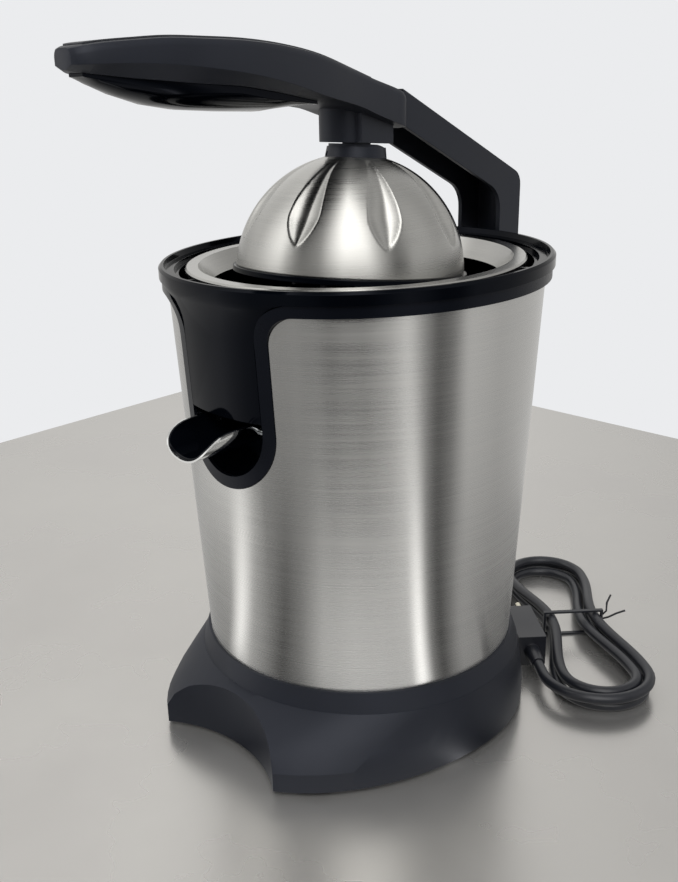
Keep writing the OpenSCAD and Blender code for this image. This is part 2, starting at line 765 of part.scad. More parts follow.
module juice_bowl() {
    color(gloss_black) difference() {
        union() {
            rotate_extrude($fn = fine) polygon([
                [chimney_in_r, floor_z - bowl_wall], [bowl_low_r, floor_z - bowl_wall],
                [bowl_out_r, bowl_taper_z], [bowl_out_r, band_top], [rim_r, band_top],
                [rim_r, rim_z - lip_round], [rim_r - lip_round, rim_z], [rim_r - lip_w, rim_z],
                [rim_r - lip_w - lip_round / 2, rim_z - shelf_down], [rim_r - lip_w - shelf_w, rim_z - shelf_down],
                [rim_r - lip_w - shelf_w, rim_z - shelf_down - shelf_step], [bowl_in_r, rim_z - shelf_down - shelf_step],
                [bowl_in_r, bowl_taper_z], [bowl_low_r - bowl_wall, floor_z], [chimney_r, floor_z],
                [chimney_r, floor_z + chimney_h], [chimney_in_r, floor_z + chimney_h]]);
            intersection() {
                rotate_extrude($fn = fine) polygon(concat(
                    [[bowl_low_r - over, apron_z], [shell_r(apron_z) + frame_proud, apron_z]], sweep(rim_r, band_top),
                    [[bowl_out_r - over, band_top], [bowl_out_r - over, bowl_taper_z]]));
                to_front(0, 2 * rim_r) recess_drawing(frame_in - fit, band_top + fit, gloss_corner_r + fit);
            }
            for (i = [0:rib_count - 1]) rotate([0, 0, 360 * (i + 0.5) / rib_count]) rotate([90, 0, 0])
                at(0, 0, -rib_t / 2) linear_extrude(rib_t) polygon([
                    [strainer_r - lip_w, strainer_z - strainer_rim_t], [bowl_in_r + over, strainer_z - strainer_rim_t],
                    [bowl_in_r + over, strainer_z - rib_h]]);
            at(0, -outlet_y, outlet_low_z) cylinder(r = outlet_r + bowl_wall, h = floor_z - outlet_low_z, $fn = mid);
        }
        at(0, -outlet_y, outlet_low_z - over) cylinder(r = outlet_r, h = floor_z - outlet_low_z + 2 * over, $fn = mid);
    }
}

seal_r = 20;
seal_in_r = 16;

module bowl_seal() {
    color(rubber) ring(seal_r, seal_in_r, deck_top, floor_z - bowl_wall);
}

slot_w = 1.2;
slot_near = 20;
slot_edge = 5;
hub_gap = 1.6;
strainer_floor_z = strainer_z - strainer_depth;

module strainer() {
    rim_in = strainer_r - strainer_rim_w;
    color("#c4c6c8") difference() {
        rotate_extrude($fn = fine) polygon([
            [chimney_r + hub_gap, strainer_floor_z], [strainer_floor_r, strainer_floor_z],
            [rim_in, strainer_z - strainer_t], [strainer_r - strainer_t, strainer_z - strainer_t],
            [strainer_r - strainer_t, strainer_z - strainer_rim_t], [strainer_r, strainer_z - strainer_rim_t],
            [strainer_r, strainer_z - strainer_t], [strainer_r - strainer_t, strainer_z],
            [rim_in - strainer_t, strainer_z], [strainer_floor_r - strainer_t, strainer_floor_z + strainer_t],
            [chimney_r + hub_gap, strainer_floor_z + strainer_t]]);
        for (i = [0:slot_count - 1]) rotate([0, 0, 360 * i / slot_count])
            block([slot_near, -slot_w / 2, strainer_floor_z - over],
                  [strainer_floor_r - slot_edge, slot_w / 2, strainer_floor_z + strainer_t + over]);
    }
}

// Drive shaft, reamer and push rod
reamer_z = strainer_floor_z + strainer_t + press_travel + over;
shaft_in = 24;
shaft_top = reamer_z + shaft_in;
flat_in = 0.8;
flat_half = shaft_r - flat_in;
flat_h = 26;
shaft_low = case_z - lower_boss + over;
spring_h = 12;
spring_d = 1;
spring_r = 3.6;
spring_turns = 5;
bore_top = shaft_top + spring_h;
rod_seat = 8;
core_share = 0.62;
reamer_foot_h = 3;
rib_half = 1.6;
ogive_steps = 14;

module drive_shaft() {
    color(steel) difference() {
        at(0, 0, shaft_low) cylinder(r = shaft_r, h = shaft_top - shaft_low, $fn = mid);
        at(0, 0, shaft_low - over) cylinder(r = rod_r + run_fit, h = shaft_top - shaft_low + 2 * over, $fn = small);
        for (s = [0, 1]) mirror([s, 0, 0])
            block([flat_half, -shaft_r - over, shaft_top - flat_h], [shaft_r + over, shaft_r + over, shaft_top + over]);
    }
}

module reamer_form(r_share) {
    rotate_extrude($fn = mid) polygon(concat([[0, 0]], [for (i = [0:ogive_steps])
        [reamer_r * r_share * cos(90 * i / ogive_steps), reamer_h * (r_share + 1) / 2 * sin(90 * i / ogive_steps)]]));
}

module reamer() {
    color("#1b1b20") at(0, 0, reamer_z) difference() {
        union() {
            reamer_form(core_share);
            cylinder(r = reamer_r, h = reamer_foot_h, $fn = mid);
            intersection() {
                reamer_form(1);
                union() for (i = [0:reamer_ribs - 1]) rotate([0, 0, 360 * i / reamer_ribs])
                    block([0, -rib_half, 0], [reamer_r, rib_half, reamer_h]);
            }
        }
        intersection() {
            at(0, 0, -over) cylinder(r = shaft_r + 2 * run_fit, h = bore_top - reamer_z + over, $fn = mid);
            block([-flat_half - 2 * run_fit, -2 * shaft_r, -2 * over], [flat_half + 2 * run_fit, 2 * shaft_r, reamer_h]);
        }
        at(0, 0, 0) cylinder(r = rod_r + run_fit, h = bore_top - reamer_z + rod_seat, $fn = small);
        at(0, 0, -over) cylinder(r = shaft_r + 2 * run_fit, h = shaft_top - flat_h - reamer_z + press_travel + 2 * over, $fn = mid);
    }
}

module push_rod() {
    color(steel) at(0, 0, rod_low_z) cylinder(r = rod_r, h = bore_top + rod_seat - over - rod_low_z, $fn = small);
}

module return_spring() {
    step = 45;
    height = spring_h - spring_d - 2 * run_fit;
    color(steel) tube([for (a = [0:step:360 * spring_turns])
        [spring_r * cos(a), spring_r * sin(a), shaft_top + spring_d / 2 + run_fit + height * a / (360 * spring_turns)]],
        spring_d, 6);
}

// Spout: a trough with an open, rounded front end, hung on a pin
spout_top = rim_z - spout_drop;
spout_tail = 14;
spout_back = spout_axis_y - spout_tail;
spout_axis_dip = 4;
spout_axis_z = spout_top - spout_axis_dip;
spout_pin_r = 1.5;
spout_flat = 0.82;
spout_round = 17;
spout_edge_steps = 8;
liner_t = 1;

module trough(r, back) {
    intersection() {
        union() {
            to_front(back, spout_reach) {
                translate([0, spout_top]) scale([1, spout_flat]) circle(r = r, $fn = mid);
            }
        }
        side_slab(2 * spout_half) polygon(concat(
            [[-back + over, spout_top], [-back + over, spout_top - 2 * spout_half], [-spout_reach, spout_top - 2 * spout_half]],
            [for (i = [0:spout_edge_steps]) let (a = 90 * i / spout_edge_steps)
                [-spout_reach + spout_round * (1 - cos(a)), spout_top - spout_flat * spout_half * (1 - sin(a))]]));
    }
}

module spout() {
    color("#cfd2d4") difference() {
        trough(spout_half, spout_back);
        to_front(spout_back - over, spout_reach + over) translate([0, spout_top]) scale([1, spout_flat])
            circle(r = spout_half - spout_t, $fn = mid);
        at(0, -spout_axis_y, spout_axis_z) bar_x(spout_pin_r + run_fit, rim_r);
    }
}

module spout_liner() {
    gap = spout_t + run_fit;
    color(gloss_black) difference() {
        intersection() {
            to_front(spout_back + spout_t, spout_reach - 2 * spout_t) translate([0, spout_top]) scale([1, spout_flat])
                circle(r = spout_half - gap, $fn = mid);
            trough(spout_half, spout_back);
        }
        to_front(spout_back, spout_reach + over) translate([0, spout_top]) scale([1, spout_flat])
            circle(r = spout_half - gap - liner_t, $fn = mid);
        at(0, -spout_axis_y, spout_axis_z) bar_x(spout_pin_r + run_fit, rim_r);
    }
}

module spout_pin() {
    color(steel) for (s = [0, 1]) mirror([s, 0, 0])
        at(spout_half - spout_t - liner_t - over / 2, -spout_axis_y, spout_axis_z) rotate([0, 90, 0])
            cylinder(r = spout_pin_r, h = frame_in + well_wall - fit - spout_half + spout_t + liner_t + over / 2, $fn = small);
}

// Press dome, leaning on its pin in the arm's boss; its parts are drawn upright about the pin
dome_sides = 56;
dome_pin_y = 4;
dome_pin_up = 59;
dome_pin_r = 2.5;
dome_pin_z = rim_z + dome_pin_up;
dome_mid_z = rim_z - dome_drop + dome_h - dome_r;
dent_sink = 4.4;
dent_lat = 41;
dent_half = 30;
dent_start = 13.5;
ring_lap = 1.6;
ring_h = 2.8;
ring_in = 5;
neck_up = 41;
neck_h = 8.4;
neck_low_z = rim_z + neck_up;
neck_top_z = neck_low_z + neck_h;
neck_low_r = 15.3;
neck_top_r = 14;
neck_floor_t = 2.4;
neck_wall = 2.6;
lug_half = 4;
lug_r = 5.6;
lug_play = 0.4;
slot_play = 2.6;

module leaning() {
    at(0, dome_pin_y, dome_pin_z) rotate([-dome_lean, 0, 0]) at(0, 0, -dome_pin_z) children();
}

module dome_dents(extra) {
    for (i = [0:dent_count - 1]) rotate([0, 0, dent_start + 360 * i / dent_count]) at(0, 0, dome_mid_z)
        rotate([0, -dent_lat, 0]) at(dome_r - dent_sink + dent_r, 0, -dent_half)
            cylinder(r = dent_r + extra, h = 2 * dent_half, $fn = mid);
}

module press_dome() {
    color("#c9cbcd") leaning() difference() {
        at(0, 0, dome_mid_z) sphere(r = dome_r, $fn = dome_sides);
        difference() {
            at(0, 0, dome_mid_z) sphere(r = dome_r - dome_t, $fn = dome_sides);
            dome_dents(dome_t);
        }
        dome_dents(0);
        at(0, 0, rim_z - dome_drop - 2 * dome_r) cylinder(r = 2 * dome_r, h = 2 * dome_r, $fn = mid);
        at(0, 0, neck_low_z - dome_r) cylinder(r = screw_r + run_fit, h = 2 * dome_r, $fn = small);
    }
}

module dome_ring() {
    color(gloss_black) leaning()
        ring(dome_r + ring_lap, dome_r - ring_in, rim_z - dome_drop - ring_h, rim_z - dome_drop);
}

module dome_neck() {
    color(satin_black) leaning() difference() {
        union() {
            at(0, 0, neck_low_z) cylinder(r1 = neck_low_r, r2 = neck_top_r, h = neck_top_z - neck_low_z, $fn = fine);
            at(0, 0, dome_pin_z) bar_x(lug_r, lug_half);
            block([-lug_half, -lug_r, neck_top_z - over], [lug_half, lug_r, dome_pin_z]);
        }
        at(0, 0, dome_mid_z) sphere(r = dome_r + run_fit, $fn = dome_sides);
        rotate([0, 0, 45]) {
            block([-neck_low_r, neck_wall, neck_low_z - over], [neck_low_r, 2 * neck_wall, neck_top_z - neck_floor_t]);
            block([-neck_low_r, -2 * neck_wall, neck_low_z - over], [-screw_head_r, -neck_wall, neck_top_z - neck_floor_t]);
        }
        at(0, 0, neck_low_z - over) cylinder(r = screw_r + run_fit, h = neck_top_z - neck_low_z, $fn = small);
        at(0, 0, dome_pin_z) bar_x(dome_pin_r + run_fit, 2 * lug_half);
    }
}

module dome_screw() {
    color(steel) leaning() screw(dome_mid_z + dome_r - dome_t - fit, true, dome_t + neck_floor_t - fit);
}

module dome_pin() {
    color(steel) at(0, dome_pin_y, dome_pin_z) bar_x(dome_pin_r, arm_half - over);
}

// Arm: an open channel from the boss over to the hinge behind the body
boss_back_y = 13.7;
boss_front_y = -16.8;
boss_up = 50.2;
boss_h = 19.8;
boss_slant = 3;
boss_nose_drop = 2;
boss_low_z = rim_z + boss_up;
boss_top_z = boss_low_z + boss_h;
boss_front_z = boss_top_z - boss_nose_drop;
nose_r = 11.3;
nose_y = boss_front_y + nose_r;
nose_back_y = -8;
tongue_y = 20.3;
tongue_drop = 1;
tongue_z = boss_top_z - tongue_drop;
slope_rise = tan(beam_slope);
post_out_y = hinge_y + post_depth / 2;
post_in_y = hinge_y - post_depth / 2;
web_up = 8;
web_low_z = hinge_z + web_up;
beam_drop = beam_depth / cos(beam_slope);
corner_out_r = 9;
corner_in_r = 15;

function beam_z(y) = rim_z + beam_up - slope_rise * y;

module beam_side(inset, low) {
    t = inset / cos(beam_slope);
    side_slab(rim_r) polygon(rounded([
        [boss_back_y + fit, tongue_z - inset, 0], [tongue_y, tongue_z - inset, 0], [tongue_y, beam_z(tongue_y) - t, 0],
        [post_out_y - inset, beam_z(post_out_y) - t + inset * slope_rise / 2, corner_out_r],
        [post_out_y - inset, low, 0], [post_in_y, low, 0],
        [post_in_y, beam_z(post_in_y) - beam_drop, corner_in_r],
        [boss_back_y + fit, beam_z(boss_back_y) - beam_drop, 0]]));
}

module arm_beam() {
    web_cut = arm_half - arm_wall;
    color(satin_black) difference() {
        union() {
            intersection() {
                beam_side(0, hinge_z);
                block([-arm_half, 0, 0], [arm_half, 2 * rim_r, 2 * rim_z]);
            }
            at(0, hinge_y, hinge_z) bar_x(post_depth / 2, arm_half);
        }
        intersection() {
            union() {
                beam_side(arm_wall, hinge_z - post_depth);
                side_slab(rim_r) polygon([
                    [tongue_y + arm_wall, beam_z(tongue_y) - beam_drop - post_depth],
                    [tongue_y + arm_wall, beam_z(tongue_y) - beam_drop + over],
                    [post_in_y - corner_in_r, beam_z(post_in_y - corner_in_r) - beam_drop + over],
                    [post_in_y + over, beam_z(post_in_y) - beam_drop - corner_in_r],
                    [post_in_y + over, hinge_z - post_depth], [post_in_y - post_depth, hinge_z - post_depth],
                    [post_in_y - post_depth, beam_z(post_in_y) - beam_drop - 2 * corner_in_r]]);
            }
            block([-web_cut, boss_back_y + arm_wall, 0], [web_cut, 2 * rim_r, 2 * rim_z]);
        }
        block([-web_cut, post_in_y - over, 0], [web_cut, 2 * rim_r, web_low_z]);
        at(0, hinge_y, hinge_z) bar_x(hinge_pin_r + run_fit, 2 * arm_half);
    }
}

module boss_form(extra) {
    intersection() {
        at(0, 0, boss_low_z) linear_extrude(boss_top_z - boss_low_z + extra) union() {
            translate([0, nose_y]) circle(r = nose_r + extra, $fn = mid);
            translate([-arm_half - extra, nose_back_y - extra]) square([2 * (arm_half + extra), boss_back_y - nose_back_y + 2 * extra]);
        }
        side_slab(rim_r) polygon([
            [boss_front_y - over, boss_low_z + boss_slant], [boss_front_y - over, boss_front_z + extra], [nose_back_y, boss_top_z + extra],
            [boss_back_y + extra, boss_top_z + extra], [boss_back_y + extra, boss_low_z]]);
    }
}

boss_screw_x = 9;
boss_screw_y = -2;
boss_screw_up = 9.1;
boss_screw_z = boss_low_z + boss_screw_up;

module arm_boss() {
    color(satin_black) difference() {
        boss_form(0);
        block([-lug_half - lug_play, dome_pin_y - lug_r - slot_play, boss_low_z - over],
              [lug_half + lug_play, dome_pin_y + lug_r + slot_play - over, dome_pin_z + lug_r + over]);
        at(0, dome_pin_y, dome_pin_z) bar_x(dome_pin_r + run_fit, arm_half - over);
        for (s = [-boss_screw_x, boss_screw_x]) at(s, boss_screw_y, 0) {
            at(0, 0, boss_low_z - over) cylinder(r = screw_head_r + fit, h = boss_screw_z - boss_low_z + over, $fn = small);
            at(0, 0, boss_low_z) cylinder(r = screw_r + run_fit, h = 2 * boss_screw_z - boss_low_z, $fn = small);
        }
    }
}

module hinge_pin() {
    color(steel) at(0, hinge_y, hinge_z) bar_x(hinge_pin_r, arm_half - over / 2);
}

// Handle: stations along Y, each [reach, crest over the boss, rise to the front, depth of the side, depth of the underside, half width]
handle_share = [
    [-1, 1, 0.8616, 0.411, 0.5205, 0.2115], [-0.9904, 1, 0.8805, 0.4384, 0.5822, 0.3077], [-0.9678, 1, 0.9182, 0.4863, 0.6781, 0.4154],
    [-0.926, 1, 0.956, 0.5342, 0.7945, 0.5231], [-0.8617, 1, 0.9811, 0.5822, 0.9247, 0.6538], [-0.7717, 1, 1, 0.6712, 1.0685, 0.8154],
    [-0.672, 1, 0.9497, 0.7466, 1.137, 0.9385], [-0.5421, 1, 0.8679, 0.8699, 1.1849, 1], [-0.4045, 1, 0.7044, 1, 1.2534, 0.9923],
    [-0.2579, 1, 0.434, 1.1233, 1.2603, 0.9231], [-0.1029, 1, 0, 1.0342, 1.089, 0.8077], [-0.0199, 0.7111, 0, 1.0548, 1.0959, 0.7538],
    [0.5025, 0.437, 0, 1.089, 1.1301, 0.7154], [0.8571, 0.2519, 0, 1.0685, 1.1096, 0.6923], [0.9852, 0.1037, 0, 0.9589, 1, 0.6154]];
handle_crest = 13.5;
handle_edge = 1.8;
handle_chamfer = 5;
handle_nose_share = 0.7;
handle_wall = 2.5;
grip_first = 2;
grip_last = 9;
grip_steps = 12;
grip_inset = 6;
grip_share = [0, 0.2364, 0.5091, 0.7636, 0.8636, 0.8455, 0.6182, 0];
grip_lip = 1.2;
inlay_t = 0.6;
inlay_first = 2;
inlay_last = 11;
inlay_inset = 4;

handle_rise = rim_z + handle_up - boss_top_z - handle_crest;
function handle_y(s) = s[0] * (s[0] < 0 ? handle_reach : tongue_y);
function handle_top(s) = boss_top_z + handle_crest * s[1] + handle_rise * s[2];
function handle_side(s) = handle_top(s) - handle_t * s[3];
function handle_under(s) = handle_top(s) - handle_t * s[4];
function handle_w(s) = s[5] * handle_half;

module handle_form() {
    loft([for (s = handle_share) let (
        y = handle_y(s), top = handle_top(s), low = handle_side(s), bottom = handle_under(s),
        w = handle_w(s), e = handle_edge, c = min(handle_chamfer, w * handle_nose_share))
        [[w - e, y, top], [e - w, y, top], [-w, y, top - e], [-w, y, low],
         [c - w, y, bottom], [w - c, y, bottom], [w, y, low], [w, y, top - e]]]);
}

module handle_shell() {
    t = handle_wall;
    color(satin_black) difference() {
        handle_form();
        loft([for (i = [grip_first + 1:grip_last]) let (
            s = handle_share[i], y = handle_y(s), top = handle_top(s) - t, bottom = handle_under(s) - t,
            w = handle_w(s) - handle_chamfer - t)
            [[w, y, top], [-w, y, top], [-w, y, bottom], [w, y, bottom]]]);
        boss_form(run_fit);
        block([-arm_half - run_fit, boss_back_y, rim_z], [arm_half + run_fit, 2 * tongue_y, tongue_z + run_fit]);
        for (s = [-boss_screw_x, boss_screw_x]) at(s, boss_screw_y, boss_low_z)
            cylinder(r = screw_r + run_fit, h = boss_screw_z - boss_low_z + screw_l + over, $fn = small);
    }
}

module grip() {
    color(gloss_black) loft([for (i = [grip_first:grip_last]) let (
        s = handle_share[i], y = handle_y(s), top = handle_under(s) - run_fit, w = handle_w(s) - grip_inset,
        deep = grip_share[i - grip_first] * belly_h)
        concat([[w, y, top], [-w, y, top]], [for (k = [0:grip_steps]) let (a = 180 + 180 * k / grip_steps)
            [w * cos(a), y, top - grip_lip + deep * sin(a)]])]);
}

module handle_inlay() {
    color("#30313a") loft([for (i = [inlay_first:inlay_last]) let (
        s = handle_share[i], y = handle_y(s), low = handle_top(s) + run_fit, w = handle_w(s) - inlay_inset)
        [[w, y, low + inlay_t], [-w, y, low + inlay_t], [-w, y, low], [w, y, low]]]);
}

module handle_screws() {
    color(steel) for (s = [-boss_screw_x, boss_screw_x]) at(s, boss_screw_y, 0) screw(boss_screw_z, true, screw_l);
}

// Cord: gland, lead, a folded hank in two layers tied at its waist, and the plug
hank_turn = -41;
hank_out = 42;
hank_across = base_r + hank_out;
hank_along = -42;
hank_at = [hank_along * cos(hank_turn) - hank_across * sin(hank_turn),
           hank_along * sin(hank_turn) + hank_across * cos(hank_turn)];
loop_pitch = 1.15 * cord_d;
layer_step = 1.1 * cord_d;
inner_fold_r = 3 * cord_d;
waist_draw = 10;
waist_lift = 1.7;
fold_part = 5 / 24;
loop_total = 2 + 2 * fold_part + 7 / 24;
loop_half = loop_total / 2;
climb_half = 0.25;
ring_step = 1 / 48;
last_wide = 4.2;
cord_sides = 8;
stub = cord_d;

function ease(t) = t <= 0 ? 0 : t >= 1 ? 1 : t * t * (3 - 2 * t);
function loop_r(u) = inner_fold_r + loop_pitch * abs(u - loop_half);
function draw(x) = (1 + cos(360 * x / hank_run)) / 2;
function last_shift(u) = last_wide * ease((u - (loop_total - fold_part)) / fold_part);
function loop_z(u, x) = cord_d / 2 + layer_step * ease((u - loop_half + climb_half) / (2 * climb_half))
    + waist_lift * draw(x);
function fold_point(u, a, side) = [side * hank_run / 2 + loop_r(u) * cos(a), loop_r(u) * sin(a) - last_shift(u), loop_z(u, hank_run / 2)];
function run_point(u, x, side) = [x, side * (loop_r(u) - waist_draw * draw(x)), loop_z(u, x)];
function loop_point(u) = let (s = u - floor(u), q = fold_part, h = 0.5)
    s < q ? fold_point(u, 270 - 180 * s / q, -1)
    : s < h ? run_point(u, hank_run * ((s - q) / (h - q) - 0.5), 1)
    : s < h + q ? fold_point(u, 90 - 180 * (s - h) / q, 1)
    : run_point(u, hank_run * (0.5 - (s - h - q) / (h - q)), -1);
ring_count = round(loop_total / ring_step);
hank_points = concat([fold_point(0, 270, -1) + [stub, 0, 0]],
    [for (i = [0:ring_count]) loop_point(i < ring_count ? i * ring_step : loop_total - ring_step / 100)],
    [loop_point(loop_total - ring_step / 100) - [stub, 0, 0]]);
hank_start = hank_points[0];
hank_end = hank_points[len(hank_points) - 1];

function to_hank(p) = let (x = p[0] - hank_at[0], y = p[1] - hank_at[1])
    [x * cos(hank_turn) + y * sin(hank_turn), y * cos(hank_turn) - x * sin(hank_turn), p[2]];
function radial(r, z) = [r * sin(gland_az), r * cos(gland_az), z];

gland_flange_r = 6.2;
gland_flange_t = 2;
gland_reach = 20;
gland_end_r = 4;
gland_in_r = base_r - base_wall;
lead_in = 14;
lead_steps = 14;

module in_hank() {
    at(hank_at[0], hank_at[1], 0) rotate([0, 0, hank_turn]) children();
}

module cord_gland() {
    color(rubber) rotate([0, 0, -gland_az]) at(0, 0, gland_z) rotate([-90, 0, 0]) difference() {
        union() {
            at(0, 0, gland_in_r) cylinder(r = gland_hole_r, h = base_r - gland_in_r + fit, $fn = mid);
            at(0, 0, base_r + run_fit) cylinder(r = gland_flange_r, h = gland_flange_t, $fn = mid);
            at(0, 0, base_r + gland_flange_t) cylinder(r1 = gland_hole_r, r2 = gland_end_r, h = gland_reach - gland_flange_t, $fn = mid);
        }
        at(0, 0, base_r / 2) cylinder(r = cord_d / 2 + run_fit, h = base_r, $fn = mid);
    }
}

// The lead leaves the gland straight and bends in one arc into the hank
lead_from = to_hank(radial(base_r + gland_reach, gland_z));
lead_heading = 90 - gland_az - hank_turn;
lead_turn = 180 - lead_heading;
lead_r = 5 * cord_d;
lead_rise = hank_start[1] - lead_from[1];
lead_straight = (lead_rise - lead_r * (cos(lead_heading) + 1)) / sin(lead_heading);
lead_arc = lead_r * lead_turn * PI / 180;
function lead_point(t) = let (
    l = t * (lead_straight + lead_arc), f = min(l, lead_straight),
    a = lead_heading + max(0, l - lead_straight) / lead_r * 180 / PI)
    [lead_from[0] + f * cos(lead_heading) + lead_r * (sin(a) - sin(lead_heading)),
     lead_from[1] + f * sin(lead_heading) + lead_r * (cos(lead_heading) - cos(a)),
     gland_z + (cord_d / 2 - gland_z) * ease(t)];
lead_points = concat([to_hank(radial(gland_in_r - lead_in, gland_z))],
    [for (i = [0:lead_steps]) lead_point(i / lead_steps)], [hank_start + [run_fit, 0, 0]]);

module cord_lead() {
    color(rubber) in_hank() tube(lead_points, cord_d, cord_sides);
}

module cord_hank() {
    color(rubber) in_hank() tube(hank_points, cord_d, cord_sides);
}

tail_l = 6;
relief_l = 14;
relief_r = 4.6;
relief_end_r = 3.6;
plug_l = 38;
plug_half = 8;
plug_half_h = hank_end[2] - fit;
plug_front_share = 0.86;
pin_l = 18;
pin_r = 2;
pin_y = 5;
plug_z = hank_end[2];
plug_x = hank_end[0] - tail_l;

module cord_tail() {
    color(rubber) in_hank() tube([hank_end - [run_fit, 0, 0], hank_end - [tail_l / 2, 0, 0],
        hank_end - [tail_l + relief_l / 2, 0, 0]], cord_d, cord_sides);
}

module cord_tie() {
    w = 1.2;
    t = 1.2;
    gap = 0.5;
    near = -(loop_r(loop_half - 0.5) - waist_draw) - cord_d / 2 - gap;
    far = loop_r(loop_half - 1) - waist_draw + cord_d / 2 + gap;
    low = t;
    high = cord_d + layer_step + waist_lift + gap;
    knot = [0, far + t / 2, high - cord_d / 2];
    color(rubber) in_hank() {
        difference() {
            block([-w, near - t, 0], [w, far + t, high + t]);
            block([-2 * w, near, low], [2 * w, far, high]);
        }
        tube([knot, knot + [t, 2 * t, 3 * t], knot + [-2 * t, 3 * t, 6 * t], knot + [-3 * t, 5 * t, 10 * t]], t, 6);
        tube([knot - [0, 0, 2 * t], knot + [2 * t, 3 * t, 0], knot + [4 * t, 6 * t, 3 * t], knot + [5 * t, 10 * t, 5 * t]], t, 6);
    }
}

module plug_body() {
    color(rubber) in_hank() at(plug_x, hank_end[1], plug_z) rotate([0, -90, 0]) difference() {
        union() {
            at(0, 0, 0) cylinder(r1 = relief_end_r, r2 = relief_r, h = relief_l + over, $fn = mid);
            at(0, 0, relief_l) linear_extrude(plug_l) scale(1) square([2 * plug_half_h, 2 * plug_half], center = true);
        }
        at(0, 0, -over) cylinder(r = cord_d / 2 + run_fit, h = relief_l / 2 + 2 * over, $fn = mid);
    }
}

module plug_pins() {
    color(brass) in_hank() for (s = [-pin_y, pin_y]) at(plug_x - relief_l - plug_l - run_fit, hank_end[1] + s, plug_z)
        rotate([0, -90, 0]) cylinder(r = pin_r, h = pin_l, $fn = small);
}

// The least gap between the hank's own turns, measured on its points
function apart(i, j) = norm(hank_points[i] - hank_points[j]) - cord_d;
near_steps = 12;
echo(hank_gap = min([for (i = [0:len(hank_points) - 1], j = [0:len(hank_points) - 1]) if (j > i + near_steps) apart(i, j)]));
function length_of(p) = [for (i = [1:len(p) - 1]) norm(p[i] - p[i - 1])];
function sum(v, i = 0) = i < len(v) ? v[i] + sum(v, i + 1) : 0;
echo(cord_length = sum(length_of(hank_points)) + sum(length_of(lead_points)) + tail_l);

base_shell();
base_plate();
feet();
base_screws();
body_shell();
top_frame();
spout_well();
chassis();
motor_can();
stator();
motor_screws();
gearbox_housing();
gearbox_screws();
upper_bush();
lower_bush();
idler_axle();
shaft_seal();
micro_switch();
switch_lever();
lever_pin();
rotor_shaft();
rotor_core();
motor_pinion();
cooling_fan();
idler_gear();
idler_pinion();
drive_shaft();
output_gear();
reamer();
push_rod();
return_spring();
juice_bowl();
bowl_seal();
strainer();
spout();
spout_liner();
spout_pin();
press_dome();
dome_ring();
dome_neck();
dome_screw();
dome_pin();
arm_beam();
arm_boss();
hinge_pin();
handle_shell();
grip();
handle_inlay();
handle_screws();
cord_gland();
cord_lead();
cord_hank();
cord_tail();
cord_tie();
plug_body();
plug_pins();
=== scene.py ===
# A counter-top citrus press: steel body, black moulded base and bowl, steel dome under a long lever.
# Lengths are written in millimetres and turned to metres when a piece is kept.
import json
import math

import bmesh
import bpy
from mathutils import Matrix, Vector


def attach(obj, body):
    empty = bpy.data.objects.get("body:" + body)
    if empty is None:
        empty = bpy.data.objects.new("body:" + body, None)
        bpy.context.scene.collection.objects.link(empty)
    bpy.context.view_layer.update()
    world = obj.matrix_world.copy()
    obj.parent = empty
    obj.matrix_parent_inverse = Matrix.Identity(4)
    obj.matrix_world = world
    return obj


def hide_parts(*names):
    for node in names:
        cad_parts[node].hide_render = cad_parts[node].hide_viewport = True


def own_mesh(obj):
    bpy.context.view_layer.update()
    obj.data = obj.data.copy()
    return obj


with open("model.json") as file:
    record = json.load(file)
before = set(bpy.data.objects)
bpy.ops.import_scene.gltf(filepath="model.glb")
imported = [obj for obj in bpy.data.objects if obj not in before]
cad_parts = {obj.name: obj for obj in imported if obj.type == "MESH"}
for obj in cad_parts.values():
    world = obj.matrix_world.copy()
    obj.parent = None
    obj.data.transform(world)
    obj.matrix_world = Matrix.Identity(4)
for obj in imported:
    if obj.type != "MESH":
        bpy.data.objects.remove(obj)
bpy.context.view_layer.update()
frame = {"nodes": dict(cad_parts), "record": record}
nodes = frame["nodes"]
MM = 0.001


def linear(hex_code):
    """An sRGB hex colour as the linear numbers that a socket takes."""
    parts = [int(hex_code[i:i + 2], 16) / 255 for i in (1, 3, 5)]
    return [c / 12.92 if c <= 0.04045 else ((c + 0.055) / 1.055) ** 2.4 for c in parts] + [1]


def put(tree, kind, links=None, **settings):
    """Adds a node; a link is a socket to join or a value to set."""
    node = tree.nodes.new("ShaderNode" + kind)
    for key, value in settings.items():
        setattr(node, key, value)
    for socket, value in (links or {}).items():
        if isinstance(value, bpy.types.NodeSocket):
            tree.links.new(value, node.inputs[socket])
        else:
            node.inputs[socket].default_value = value
    return node


# Camera: where the photograph was taken from, right of the spout and a little above the rim
CAMERA_AT = (0.36376, -0.37900, 0.33198)
CAMERA_AZ, CAMERA_DOWN, CAMERA_ROLL = math.radians(-50.02), math.radians(21.957), math.radians(-3.07)
SENSOR_MM, LENS_MM = 36, 42.857
SHIFT_X, SHIFT_Y = 0.10, 0.057
sight = Vector((math.sin(CAMERA_AZ) * math.cos(CAMERA_DOWN),
                math.cos(CAMERA_AZ) * math.cos(CAMERA_DOWN),
                -math.sin(CAMERA_DOWN)))
level = sight.cross(Vector((0, 0, 1))).normalized()
upward = level.cross(sight)
across = level * math.cos(CAMERA_ROLL) + upward * math.sin(CAMERA_ROLL)
upward = upward * math.cos(CAMERA_ROLL) - level * math.sin(CAMERA_ROLL)
camera = bpy.data.objects.new("camera", bpy.data.cameras.new("camera"))
camera.matrix_world = Matrix((
    (across.x, upward.x, -sight.x, CAMERA_AT[0]),
    (across.y, upward.y, -sight.y, CAMERA_AT[1]),
    (across.z, upward.z, -sight.z, CAMERA_AT[2]),
    (0, 0, 0, 1)))
camera.data.sensor_width = SENSOR_MM
